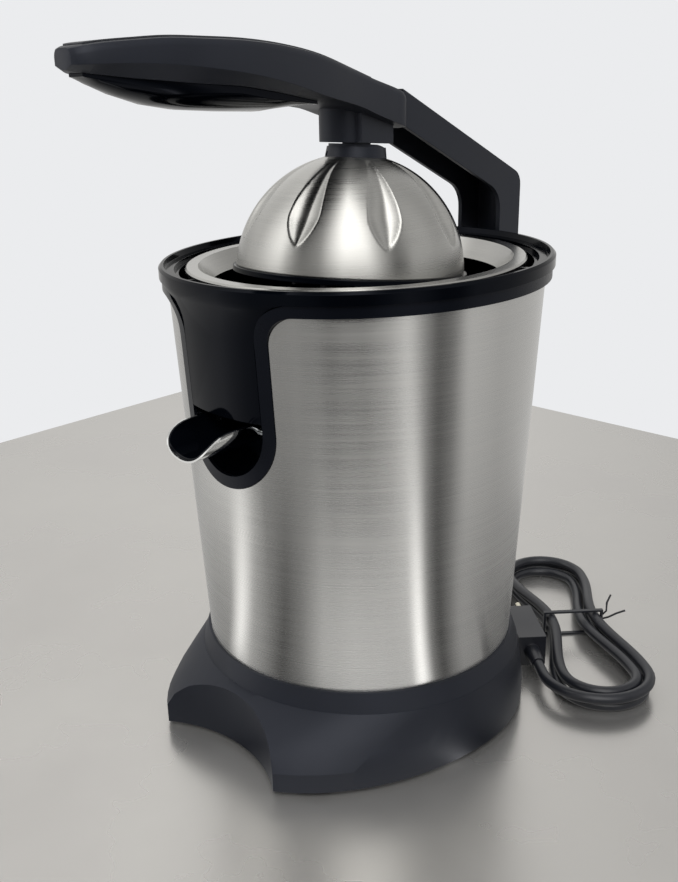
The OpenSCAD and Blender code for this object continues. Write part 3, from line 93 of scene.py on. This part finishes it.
camera.data.lens = LENS_MM
camera.data.shift_x = SHIFT_X
camera.data.shift_y = SHIFT_Y
camera.data.clip_start = 0.01
bpy.context.scene.collection.objects.link(camera)
bpy.context.scene.camera = camera


# Cord: gland, lead, a hank folded in two layers, and the plug; the route is the one of the solids
CORD_D = 6
HANK_RUN = 120
HANK_X, HANK_Y = -42, 133
hank_turn = math.radians(-41)
hank_mid = Vector((HANK_X * math.cos(hank_turn) - HANK_Y * math.sin(hank_turn),
                   HANK_X * math.sin(hank_turn) + HANK_Y * math.cos(hank_turn), 0))
# A loop is a fold, a run, a fold and a run; FOLD is a fold's share of it
FOLD = 5 / 24
LOOPS = 2 + 2 * FOLD + 7 / 24
INNER_R, LOOP_GAP = 3 * CORD_D, 1.15 * CORD_D
LAYER_UP, WAIST_UP, WAIST_IN, FOLD_SHIFT = 1.1 * CORD_D, 1.7, 10, 4.2
LOOP_STEPS, LEAD_STEPS = 96, 28
GLAND_AZ = math.radians(4)
GLAND_Z = 10
GLAND_IN, GLAND_OUT = 16.5, 20
BASE_R = 91
TAIL, RELIEF = 6, 14


def ease(t):
    t = min(1, max(0, t))
    return t * t * (3 - 2 * t)


def loop_radius(u):
    return INNER_R + LOOP_GAP * abs(u - LOOPS / 2)


def waist(x):
    return (1 + math.cos(2 * math.pi * x / HANK_RUN)) / 2


def loop_height(u, x):
    return CORD_D / 2 + LAYER_UP * ease((u - LOOPS / 2 + 0.25) / 0.5) + WAIST_UP * waist(x)


def on_fold(u, angle, side):
    a = math.radians(angle)
    shift = FOLD_SHIFT * ease((u - (LOOPS - FOLD)) / FOLD)
    return Vector((side * HANK_RUN / 2 + loop_radius(u) * math.cos(a),
                   loop_radius(u) * math.sin(a) - shift, loop_height(u, HANK_RUN / 2)))


def on_run(u, x, side):
    return Vector((x, side * (loop_radius(u) - WAIST_IN * waist(x)), loop_height(u, x)))


def on_loop(u):
    s = u - math.floor(u)
    if s < FOLD:
        return on_fold(u, 270 - 180 * s / FOLD, -1)
    if s < 0.5:
        return on_run(u, HANK_RUN * ((s - FOLD) / (0.5 - FOLD) - 0.5), 1)
    if s < 0.5 + FOLD:
        return on_fold(u, 90 - 180 * (s - 0.5) / FOLD, 1)
    return on_run(u, HANK_RUN * (0.5 - (s - 0.5 - FOLD) / (0.5 - FOLD)), -1)


def in_hank(p):
    """From the row frame into the hank's own."""
    d = p - hank_mid
    return Vector((d.x * math.cos(hank_turn) + d.y * math.sin(hank_turn),
                   d.y * math.cos(hank_turn) - d.x * math.sin(hank_turn), p.z))


def from_hank(p):
    return Vector((hank_mid.x + p.x * math.cos(hank_turn) - p.y * math.sin(hank_turn),
                   hank_mid.y + p.x * math.sin(hank_turn) + p.y * math.cos(hank_turn), p.z))


def behind(r, z):
    return Vector((r * math.sin(GLAND_AZ), r * math.cos(GLAND_AZ), z))


step = 1 / LOOP_STEPS
last = LOOPS - step / 200
hank_line = [on_fold(0, 270, -1) + Vector((CORD_D, 0, 0))]
hank_line += [on_loop(i * step) for i in range(round(LOOPS / step))]
hank_line += [on_loop(last), on_loop(last) - Vector((CORD_D, 0, 0))]

leave = in_hank(behind(BASE_R + GLAND_OUT, GLAND_Z))
heading = math.radians(90) - GLAND_AZ - hank_turn
bend_r = 5 * CORD_D
straight = (hank_line[0].y - leave.y - bend_r * (math.cos(heading) + 1)) / math.sin(heading)
arc = bend_r * (math.pi - heading)
lead_line = [in_hank(behind(BASE_R - GLAND_IN, GLAND_Z))]
for i in range(LEAD_STEPS + 1):
    run = i / LEAD_STEPS * (straight + arc)
    f, a = min(run, straight), heading + max(0, run - straight) / bend_r
    lead_line.append(Vector((
        leave.x + f * math.cos(heading) + bend_r * (math.sin(a) - math.sin(heading)),
        leave.y + f * math.sin(heading) + bend_r * (math.cos(heading) - math.cos(a)),
        GLAND_Z + (CORD_D / 2 - GLAND_Z) * ease(i / LEAD_STEPS))))
plug_start = hank_line[-1] - Vector((TAIL, 0, 0))
in_relief = plug_start - Vector((RELIEF / 2, 0, 0))
cord_line = [from_hank(p) for p in lead_line + hank_line + [plug_start, in_relief]]


# Materials. Patterns read Object coordinates, in metres; a spacing is the real size of the feature
def finish_of(name, **sockets):
    """A new material with its shader's own values set, and the nodes that its pattern starts from."""
    mat = bpy.data.materials.new(name)
    mat.use_nodes = True
    tree = mat.node_tree
    shader = tree.nodes["Principled BSDF"]
    for key, value in sockets.items():
        shader.inputs[key.replace("_", " ").title().replace("Ior", "IOR")].default_value = value
    return mat, tree, shader, put(tree, "TexCoord").outputs["Object"]


def spaced(tree, place, x, y, z, detail=3.0, roughness=0.55):
    """Noise whose features are x, y and z millimetres long."""
    sized = put(tree, "Mapping", {"Vector": place, "Scale": (1000 / x, 1000 / y, 1000 / z)})
    return put(tree, "TexNoise", {"Vector": sized.outputs[0], "Scale": 1.0, "Detail": detail,
                                  "Roughness": roughness}).outputs["Fac"]


def vary(tree, shader, pattern, socket, low, high):
    """A shader number that follows a pattern between two values."""
    ranged = put(tree, "MapRange", {"Value": pattern, "From Min": 0.3, "From Max": 0.7,
                                    "To Min": low, "To Max": high})
    tree.links.new(ranged.outputs[0], shader.inputs[socket])


def shade(tree, shader, pattern, dark, pale):
    mixed = put(tree, "Mix", {"Factor": pattern}, data_type="RGBA")
    mixed.inputs["A"].default_value = linear(dark)
    mixed.inputs["B"].default_value = linear(pale)
    tree.links.new(mixed.outputs["Result"], shader.inputs["Base Color"])


def raise_by(tree, shader, pattern, height_mm, strength=1.0):
    bumped = put(tree, "Bump", {"Height": pattern, "Distance": height_mm * MM, "Strength": strength})
    tree.links.new(bumped.outputs[0], shader.inputs["Normal"])


def moulded_plastic(name, dark, pale, rough_low, rough_high, grain, height, ior=1.5, shine=0.5, sheen="#ffffff"):
    """Injection-moulded plastic: an eroded or polished mould face gives its grain, flow gives slow mottling."""
    mat, tree, shader, place = finish_of(name, ior=ior, specular_ior_level=shine, specular_tint=linear(sheen))
    slow = spaced(tree, place, 38, 38, 38, 2)
    fine = spaced(tree, place, grain, grain, grain, 4, 0.6)
    shade(tree, shader, slow, dark, pale)
    vary(tree, shader, slow, "Roughness", rough_low, rough_high)
    raise_by(tree, shader, fine, height)
    return mat


# Spark-eroded ABS: a blue-black that stays matt, with a grain drawn 0.9 mm coarse so that it shows
satin_abs = moulded_plastic("satin_eroded_abs", "#15171c", "#1b1d24", 0.38, 0.48, 0.9, 0.010,
                            shine=0.36, sheen="#e8ecf8")
# Polished ABS: deep black that mirrors the room, with the slow ripple of a thin wall
gloss_abs = moulded_plastic("polished_abs", "#020306", "#04060a", 0.06, 0.13, 14, 0.012,
                            shine=0.1, sheen="#dfe6ff")
# Band and frame under the lip: half-gloss, so it stays nearly as black as the bowl
band_abs = moulded_plastic("half_gloss_abs", "#06080c", "#0a0c12", 0.22, 0.32, 0.9, 0.004,
                           shine=0.16, sheen="#dfe6ff")
# Dark nylon and ABS of the inner parts
dark_nylon = moulded_plastic("moulded_nylon_66", "#26272b", "#303237", 0.42, 0.55, 0.8, 0.008, 1.53)
natural_nylon = moulded_plastic("acetal_gear_stock", "#d8d4c8", "#e6e2d8", 0.32, 0.42, 0.8, 0.004, 1.48)
# Vulcanised rubber: dull, slightly grey where it is handled
cured_rubber = moulded_plastic("cured_rubber", "#151517", "#1d1d20", 0.6, 0.75, 0.8, 0.02, 1.52)
# Soft PVC sheath: smooth and a little waxy
pvc_sheath = moulded_plastic("soft_pvc_sheath", "#16171c", "#1f2127", 0.3, 0.42, 5, 0.02, 1.53)


def brushed_stainless(name, dark, pale, rough_low, rough_high, turn=0.25, strength=0.5, stretch=0.7):
    """Austenitic stainless sheet, belt-brushed round its axis: the light spreads across the grain in upright bands.
    The real grit is about 0.1 mm; it is drawn 0.7 mm coarse so that it shows."""
    mat, tree, shader, place = finish_of(name, metallic=1.0, anisotropic=stretch, anisotropic_rotation=turn)
    strands = spaced(tree, place, 120, 120, 0.7, 3, 0.55)
    wide = spaced(tree, place, 90, 90, 5, 2)
    both = put(tree, "Mix", {"Factor": 0.35, "A": strands, "B": wide}).outputs["Result"]
    shade(tree, shader, both, dark, pale)
    vary(tree, shader, both, "Roughness", rough_low, rough_high)
    raise_by(tree, shader, strands, 0.03, strength)
    round_axis = put(tree, "Tangent", direction_type="RADIAL", axis="Z")
    tree.links.new(round_axis.outputs[0], shader.inputs["Tangent"])
    return mat


shell_steel = brushed_stainless("brushed_stainless_shell", "#c0c0bf", "#d8d7d4", 0.25, 0.30,
                                strength=0.2, stretch=0.98)
dome_steel = brushed_stainless("brushed_stainless_dome", "#b6b6b4", "#d0cfcb", 0.25, 0.31,
                               strength=0.35, stretch=0.94)
strainer_steel = brushed_stainless("satin_stainless_strainer", "#b5b5b3", "#cccbc7", 0.2, 0.28,
                                   strength=0.25, stretch=0.4)


def plain_metal(name, dark, pale, rough_low, rough_high, grain=3.0, height=0.004):
    """Drawn or turned metal, with the faint cloudiness of handled stock."""
    mat, tree, shader, place = finish_of(name, metallic=1.0)
    slow = spaced(tree, place, 9, 9, 9, 3)
    shade(tree, shader, slow, dark, pale)
    vary(tree, shader, slow, "Roughness", rough_low, rough_high)
    raise_by(tree, shader, spaced(tree, place, grain, grain, grain), height)
    return mat


# Mirror-polished stainless of the spout, zinc-plated screws, turned steel, enamelled wire, brass pins
polished_steel = plain_metal("polished_stainless", "#d2d3d3", "#e0e0de", 0.05, 0.10, 6, 0.004)
zinc_plate = plain_metal("zinc_plated_steel", "#b2b6ba", "#c6c9cb", 0.25, 0.36)
turned_steel = plain_metal("turned_steel", "#9a9c9f", "#b2b4b6", 0.22, 0.34)
enamelled_copper = plain_metal("enamelled_copper", "#a5512d", "#c06a3d", 0.28, 0.4)
nickelled_brass = plain_metal("nickelled_brass", "#c4bfae", "#d6d1c0", 0.14, 0.24)

FINISH = {
    "satin_black": satin_abs, "gloss_black": gloss_abs, "dark_plastic": dark_nylon, "nylon": natural_nylon,
    "rubber": cured_rubber, "cord_black": pvc_sheath, "brushed": shell_steel, "strainer_steel": strainer_steel,
    "dome_steel": dome_steel, "polished": polished_steel, "zinc": zinc_plate, "motor_steel": turned_steel,
    "copper": enamelled_copper, "brass": nickelled_brass,
}
slot_of_node = {part["node"]: part["material_slot"] for part in frame["record"]["subparts"]}
body_of_node = {n: b for b, members in frame["record"]["behaviour"]["bodies"].items() for n in members}
for name, node in nodes.items():
    for place in node.material_slots:
        place.material = FINISH[slot_of_node[name]]


# Keeping a piece
def keep(bm, name, node, finish=None, crease=35, edge=0.0, also=(), in_mm=True):
    """Turns a finished bmesh into a piece that stands for its node: metres, smooth faces, crisp edges,
    a small moulded radius."""
    if in_mm:
        bmesh.ops.scale(bm, vec=(MM, MM, MM), verts=bm.verts)
    mesh = bpy.data.meshes.new(name)
    bm.to_mesh(mesh)
    bm.free()
    for layer in [a for a in mesh.attributes if a.name == "custom_normal"]:
        mesh.attributes.remove(layer)
    mesh.shade_smooth()
    mesh.set_sharp_from_angle(angle=math.radians(crease))
    piece = bpy.data.objects.new(name, mesh)
    bpy.context.scene.collection.objects.link(piece)
    mesh.materials.clear()
    mesh.materials.append(finish or FINISH[slot_of_node[node]])
    if edge:
        rounded = piece.modifiers.new("moulded edge", "BEVEL")
        rounded.width = edge * MM
        rounded.segments = 2
        rounded.limit_method = "ANGLE"
        rounded.angle_limit = math.radians(crease)
        rounded.harden_normals = True
    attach(piece, body_of_node[node])
    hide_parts(node, *also)
    return piece


def solid_of(node):
    """A merged copy of a node's loose triangles, in metres, with its flat faces whole again."""
    bm = bmesh.new()
    bm.from_mesh(nodes[node].data)
    bmesh.ops.remove_doubles(bm, verts=bm.verts, dist=2e-6)
    bmesh.ops.dissolve_limit(bm, angle_limit=math.radians(0.6), verts=bm.verts, edges=bm.edges)
    return bm


PIN_Y, PIN_Z = 4, 304
DOME_LEAN = math.radians(-6.2)


def lean(bm):
    """From the upright axis to the pin behind it, and tilted about that pin as the dome hangs."""
    bmesh.ops.translate(bm, vec=(0, PIN_Y, 0), verts=bm.verts)
    bmesh.ops.rotate(bm, cent=(0, PIN_Y, PIN_Z), matrix=Matrix.Rotation(DOME_LEAN, 3, "X"), verts=bm.verts)


# Press dome: half a ball with eight teardrop flutes, widest low down and narrow towards the neck
DOME_R, DOME_MID, DOME_LOW, DOME_WALL = 55.7, 235.8, 238, 1.0
FLUTE_AZ, FLUTE_STEP = 16.5, 45
FLUTE_LOW, FLUTE_HIGH = 16, 70
FLUTE_HALF, FLUTE_DEEP = 7.8, 3.3
bm = bmesh.new()
bmesh.ops.create_uvsphere(bm, u_segments=352, v_segments=176, radius=DOME_R)
bmesh.ops.bisect_plane(bm, geom=bm.verts[:] + bm.edges[:] + bm.faces[:], plane_co=(0, 0, DOME_LOW - DOME_MID),
                       plane_no=(0, 0, -1), clear_outer=True)


def flute_depth(lat, az):
    """How far the wall is pressed in, in mm, at a latitude and azimuth in degrees."""
    i = round((az - FLUTE_AZ) / FLUTE_STEP)
    side = abs(az - FLUTE_AZ - FLUTE_STEP * i)
    w = math.radians(side) * DOME_R * math.cos(math.radians(lat))
    s = (lat - FLUTE_LOW) / (FLUTE_HIGH - FLUTE_LOW)
    if not 0 < s < 1:
        return 0
    half = FLUTE_HALF * math.sin(math.pi / 2 * min(1, s / 0.30)) ** 0.7 * (1 - 0.76 * ease((s - 0.22) / 0.78))
    if w >= half:
        return 0
    depth = FLUTE_DEEP * (half / FLUTE_HALF) ** 1.1
    return depth * (1 - (w / half) ** 2)


for v in bm.verts:
    lat = math.degrees(math.asin(max(-1, min(1, v.co.z / DOME_R))))
    depth = flute_depth(lat, math.degrees(math.atan2(v.co.y, v.co.x)))
    if depth:
        v.co *= (DOME_R - depth) / DOME_R
bmesh.ops.translate(bm, vec=(0, 0, DOME_MID), verts=bm.verts)
lean(bm)
dome = keep(bm, "press_dome_skin", "press_dome", crease=50)
wall = dome.modifiers.new("wall", "SOLIDIFY")
wall.thickness = DOME_WALL * MM
wall.offset = -1

# Handle: the solid's fifteen stations drawn as one smooth loft; each is
# [reach, crest over the boss, rise to the front, depth of the side, depth of the underside, half width]
HANDLE_SHARE = [
    [-1, 1, 0.8616, 0.411, 0.5205, 0.2115],
    [-0.9904, 1, 0.8805, 0.4384, 0.5822, 0.3077],
    [-0.9678, 1, 0.9182, 0.4863, 0.6781, 0.4154],
    [-0.926, 1, 0.956, 0.5342, 0.7945, 0.5231],
    [-0.8617, 1, 0.9811, 0.5822, 0.9247, 0.6538],
    [-0.7717, 1, 1, 0.6712, 1.0685, 0.8154],
    [-0.672, 1, 0.9497, 0.7466, 1.137, 0.9385],
    [-0.5421, 1, 0.8679, 0.8699, 1.1849, 1],
    [-0.4045, 1, 0.7044, 1, 1.2534, 0.9923],
    [-0.2579, 1, 0.434, 1.1233, 1.2603, 0.9231],
    [-0.1029, 1, 0, 1.0342, 1.089, 0.8077],
    [-0.0199, 0.7111, 0, 1.0548, 1.0959, 0.7538],
    [0.5025, 0.437, 0, 1.089, 1.1301, 0.7154],
    [0.8571, 0.2519, 0, 1.0685, 1.1096, 0.6923],
    [0.9852, 0.1037, 0, 0.9589, 1, 0.6154],
]
HANDLE_REACH, TONGUE_Y = 154, 20.3
BOSS_TOP, CREST, RISE = 315, 13.5, 15.9
HANDLE_T, HANDLE_HALF = 14.6, 26
HANDLE_STEPS = 6
# The inlay runs between two rows of the loft, in from the sides and a little proud of the top
INLAY_FROM, INLAY_TO, INLAY_IN, INLAY_HIGH, INLAY_LOW = 12, 67, 4, 0.65, 0.05


def between(rows, i, t):
    """A station between rows i and i + 1, on a curve through its neighbours."""
    a, b, c, d = (rows[min(len(rows) - 1, max(0, k))] for k in (i - 1, i, i + 1, i + 2))
    return [q + 0.5 * t * (r - p + t * (2 * p - 5 * q + 4 * r - u + t * (3 * (q - r) + u - p)))
            for p, q, r, u in zip(a, b, c, d)]


def handle_place(s):
    """A station in millimetres: reach, top, low edge of the side, underside and half width."""
    top = BOSS_TOP + CREST * s[1] + RISE * s[2]
    return [s[0] * (HANDLE_REACH if s[0] < 0 else TONGUE_Y), top, top - HANDLE_T * s[3], top - HANDLE_T * s[4],
            s[5] * HANDLE_HALF]


def loft(rings):
    bm = bmesh.new()
    loops = [[bm.verts.new(p) for p in ring] for ring in rings]
    for one, two in zip(loops, loops[1:]):
        for k in range(len(one)):
            bm.faces.new((one[k - 1], one[k], two[k], two[k - 1]))
    bm.faces.new(loops[0])
    bm.faces.new(reversed(loops[-1]))
    bmesh.ops.recalc_face_normals(bm, faces=bm.faces)
    return bm


def handle_ring(y, top, low, bottom, w):
    """One section: upright sides with a rounded upper edge, drawn in towards the underside."""
    c = min(5, 0.7 * w)
    half = [(w, low), (w, top - 3.2), (w - 0.4, top - 1.7), (w - 1.4, top - 0.5), (w - 3.4, top)]
    return ([(x, y, z) for x, z in half] + [(-x, y, z) for x, z in reversed(half)]
            + [(c - w, y, bottom), (w - c, y, bottom)])


def inlay_ring(y, top, w):
    return [(w - INLAY_IN, y, top + INLAY_HIGH), (INLAY_IN - w, y, top + INLAY_HIGH),
            (INLAY_IN - w, y, top + INLAY_LOW), (w - INLAY_IN, y, top + INLAY_LOW)]


places = [handle_place(s) for s in HANDLE_SHARE]
handle_rows = [between(places, i, k / HANDLE_STEPS) for i in range(len(places) - 1) for k in range(HANDLE_STEPS)]
handle_rows.append(places[-1])
keep(loft([handle_ring(*row) for row in handle_rows]), "handle_shell_made", "handle_shell", crease=32, edge=0.6)
keep(loft([inlay_ring(y, top, w) for y, top, low, bottom, w in handle_rows[INLAY_FROM:INLAY_TO]]),
     "handle_inlay_made", "handle_inlay", crease=32, edge=0.15)

# Step on the neck, under the boss: full height before the axis and lower behind it, so that the dome can tilt
STEP_R, STEP_LOW, STEP_LEAST, STEP_HIGH, STEP_FALL = 13.3, 294.0, 294.25, 295.6, 0.16
bm = bmesh.new()
bmesh.ops.create_cone(bm, cap_ends=True, segments=96, radius1=STEP_R, radius2=STEP_R, depth=1.0)
for v in bm.verts:
    v.co.z = STEP_LOW if v.co.z < 0 else max(STEP_LEAST, STEP_HIGH - STEP_FALL * max(0, v.co.y))
lean(bm)
keep(bm, "neck_step", "dome_neck", crease=40)

# Solids whose form is right: their flat faces made whole, curves smoothed and edges given a moulded radius
for node, edge, crease in [
    ("base_shell", 0.9, 24), ("top_frame", 0.35, 30), ("spout_well", 0.3, 30), ("juice_bowl", 0.35, 30),
    ("dome_ring", 0.5, 30), ("dome_neck", 0.35, 30), ("arm_boss", 0.7, 30), ("arm_beam", 0.7, 22),
    ("grip", 0.4, 40), ("spout", 0.15, 30), ("spout_liner", 0.15, 30),
    ("strainer", 0.12, 30), ("body_shell", 0.0, 30), ("feet", 0.5, 30),
    ("cord_gland", 0.3, 30), ("plug_body", 1.4, 30), ("plug_pins", 0.4, 30), ("cord_tie", 0.2, 40),
    ("reamer", 0.3, 30),
]:
    keep(solid_of(node), node + "_made", node, band_abs if node == "top_frame" else None,
         crease=crease, edge=edge, in_mm=False)

# Return spring in the drive shaft: its foot stays while the reamer is pressed down on it
spring = keep(solid_of("return_spring"), "return_spring_made", "return_spring", crease=60, in_mm=False)
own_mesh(spring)

# Cord: one smooth line from inside the base to the plug
line = bpy.data.curves.new("mains_cord", "CURVE")
line.dimensions = "3D"
line.bevel_depth = CORD_D / 2 * MM
line.bevel_resolution = 5
line.use_fill_caps = True
spline = line.splines.new("POLY")
spline.points.add(len(cord_line) - 1)
for point, at in zip(spline.points, cord_line):
    point.co = (*(at * MM), 1)
spline.use_smooth = True
line.materials.append(pvc_sheath)
cord = bpy.data.objects.new("mains_cord", line)
bpy.context.scene.collection.objects.link(cord)
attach(cord, "base")
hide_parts("cord_lead", "cord_hank", "cord_tail")


# Stage: a pale table with its far corner behind the press, and soft light
def stage_slab(name, low, high, finish):
    bm = bmesh.new()
    bmesh.ops.create_cube(bm, size=1.0)
    bmesh.ops.scale(bm, vec=[h - l for l, h in zip(low, high)], verts=bm.verts)
    bmesh.ops.translate(bm, vec=[(h + l) / 2 for l, h in zip(low, high)], verts=bm.verts)
    mesh = bpy.data.meshes.new(name)
    bm.to_mesh(mesh)
    bm.free()
    mesh.materials.append(finish)
    slab = bpy.data.objects.new(name, mesh)
    bpy.context.scene.collection.objects.link(slab)


def by_azimuth(tree, x, y, stops):
    """A brightness round the press, for the room's light and for the painted glow on the table: 0 degrees is +X, and
    the angle grows towards +Y.
    """
    angle = put(tree, "Math", {0: y, 1: x}, operation="ARCTAN2").outputs[0]
    share = put(tree, "MapRange", {"Value": angle, "From Min": -math.pi, "From Max": math.pi}).outputs[0]
    ramp = put(tree, "ValToRGB", {"Fac": share})
    stones = ramp.color_ramp.elements
    while len(stones) < len(stops):
        stones.new(1)
    for stone, (degrees, level) in zip(stones, sorted(stops.items())):
        stone.position = (degrees + 180) / 360
        stone.color = (level, level * 0.99, level * 0.97, 1)
    return ramp.outputs["Color"]


# What the steel mirrors, as brightness by compass direction: ROOM above the table, POOL on the table near the press
# and SHEET further out. The first levels were worked out from how bright the steel is in the photograph and were then
# tuned
ROOM = {-180: 0.45, -160: 0.4, -140: 0.85, -124: 1.2, -114: 0.4, -98: 0.16, -78: 0.3, -64: 1.0, -52: 1.5, -26: 1.4,
        -12: 0.5, 4: 0.14, 20: 0.28, 46: 0.36, 70: 0.24, 100: 0.3, 130: 0.6, 180: 0.45}
POOL = {-180: 0.3, -152: 0.22, -134: 0.2, -123: 1.0, -113: 0.28, -90: 0.03, -79: 0.16, -66: 0.46, -48: 0.48, -26: 0.42,
        -17: 0.45, -11: 1.4, -5: 0.2, 2: 0.03, 16: 0.22, 40: 0.18, 90: 0.15, 130: 0.3, 180: 0.3}
SHEET = {-180: 0.3, -130: 0.6, -104: 0.2, -80: 0.22, -68: 0.12, -60: 0.0, -40: 0.0, -28: 0.16, -17: 0.45, -8: 0.26,
         2: 0.06, 12: 0.12, 22: 0.4, 50: 0.32, 90: 0.36, 130: 0.4, 180: 0.3}
POOL_ENDS, SHEET_STARTS = 0.27, 0.38
MIRRORED_LIGHT = 1.7
# Painted reflection on the table: glossy rays meet a glow whose brightness follows POOL near the press and SHEET
# further out. These are painted bright bands and dark gaps that no lamp casts. Camera and diffuse rays meet the plain
# table.
table_top, tree, shader, place = finish_of("pale_sheet_table", metallic=0.8)
clouds = spaced(tree, place, 160, 160, 160, 4, 0.6)
shade(tree, shader, clouds, "#b5b3b0", "#cfcdc9")
vary(tree, shader, clouds, "Roughness", 0.2, 0.36)
flat = put(tree, "SeparateXYZ", {0: place})
reach = put(tree, "VectorMath", {0: place}, operation="LENGTH").outputs["Value"]
reach = put(tree, "MapRange", {"Value": reach, "From Min": POOL_ENDS, "From Max": SHEET_STARTS},
            interpolation_type="SMOOTHSTEP").outputs[0]
painted_glow = put(tree, "Mix", {"Factor": reach}, data_type="RGBA")
tree.links.new(by_azimuth(tree, flat.outputs["X"], flat.outputs["Y"], POOL), painted_glow.inputs["A"])
tree.links.new(by_azimuth(tree, flat.outputs["X"], flat.outputs["Y"], SHEET), painted_glow.inputs["B"])
# The painted glow is an emission that only glossy rays see. It stands in for light and shade mirrored off the table.
painted_glow = put(tree, "Emission", {"Color": painted_glow.outputs["Result"], "Strength": MIRRORED_LIGHT})
mirrored = put(tree, "LightPath").outputs["Is Glossy Ray"]
surface = put(tree, "MixShader", {0: mirrored, 1: shader.outputs[0], 2: painted_glow.outputs[0]})
tree.links.new(surface.outputs[0], tree.nodes["Material Output"].inputs["Surface"])
stage_slab("table", (-0.55, -2.6, -0.03), (2.6, 0.495, 0.0), table_top)


def soft_box(name, at, towards, width, height, power):
    """An area lamp that lights the matt pieces; the steel mirrors the tables above instead of it."""
    lamp = bpy.data.lights.new(name, "AREA")
    lamp.shape = "RECTANGLE"
    lamp.size, lamp.size_y, lamp.energy = width, height, power
    box = bpy.data.objects.new(name, lamp)
    aim = (Vector(towards) - Vector(at)).to_track_quat("-Z", "Y").to_matrix().to_4x4()
    box.matrix_world = Matrix.Translation(at) @ aim
    bpy.context.scene.collection.objects.link(box)
    box.visible_glossy = False


soft_box("key", (0.55, -0.75, 1.15), (0, 0, 0.2), 0.7, 0.5, 9)
soft_box("side", (1.1, 0.35, 0.8), (0, 0, 0.15), 0.5, 0.9, 5)
soft_box("far", (-0.9, 0.3, 1.2), (0, 0, 0.2), 0.8, 0.8, 6)
soft_box("front", (-0.35, -0.95, 0.4), (0, -0.1, 0.03), 0.5, 0.3, 3.5)

world = bpy.data.worlds.new("studio")
bpy.context.scene.world = world
world.use_nodes = True
tree = world.node_tree
path = put(tree, "LightPath")
seen = put(tree, "Background", {"Color": linear("#ebecee"), "Strength": 1.0})
lit = put(tree, "Background", {"Color": linear("#f2f4f8"), "Strength": 0.55})
heading = put(tree, "SeparateXYZ", {0: put(tree, "TexCoord").outputs["Generated"]})
rising = put(tree, "MapRange", {"Value": heading.outputs["Z"], "From Min": 0.1, "From Max": 0.4},
             interpolation_type="SMOOTHSTEP")
room = put(tree, "Mix", {"Factor": rising.outputs[0]}, data_type="RGBA")
tree.links.new(by_azimuth(tree, heading.outputs["X"], heading.outputs["Y"], SHEET), room.inputs["A"])
tree.links.new(by_azimuth(tree, heading.outputs["X"], heading.outputs["Y"], ROOM), room.inputs["B"])
room = put(tree, "Background", {"Color": room.outputs["Result"], "Strength": MIRRORED_LIGHT})
plain = put(tree, "Math", {0: path.outputs["Is Camera Ray"], 1: path.outputs["Is Transmission Ray"]},
            operation="MAXIMUM")
joined = put(tree, "MixShader", {0: plain.outputs[0], 1: lit.outputs[0], 2: seen.outputs[0]})
joined = put(tree, "MixShader", {0: path.outputs["Is Glossy Ray"], 1: joined.outputs[0], 2: room.outputs[0]})
tree.links.new(joined.outputs[0], tree.nodes["World Output"].inputs["Surface"])
bpy.context.scene.view_settings.view_transform = "Standard"
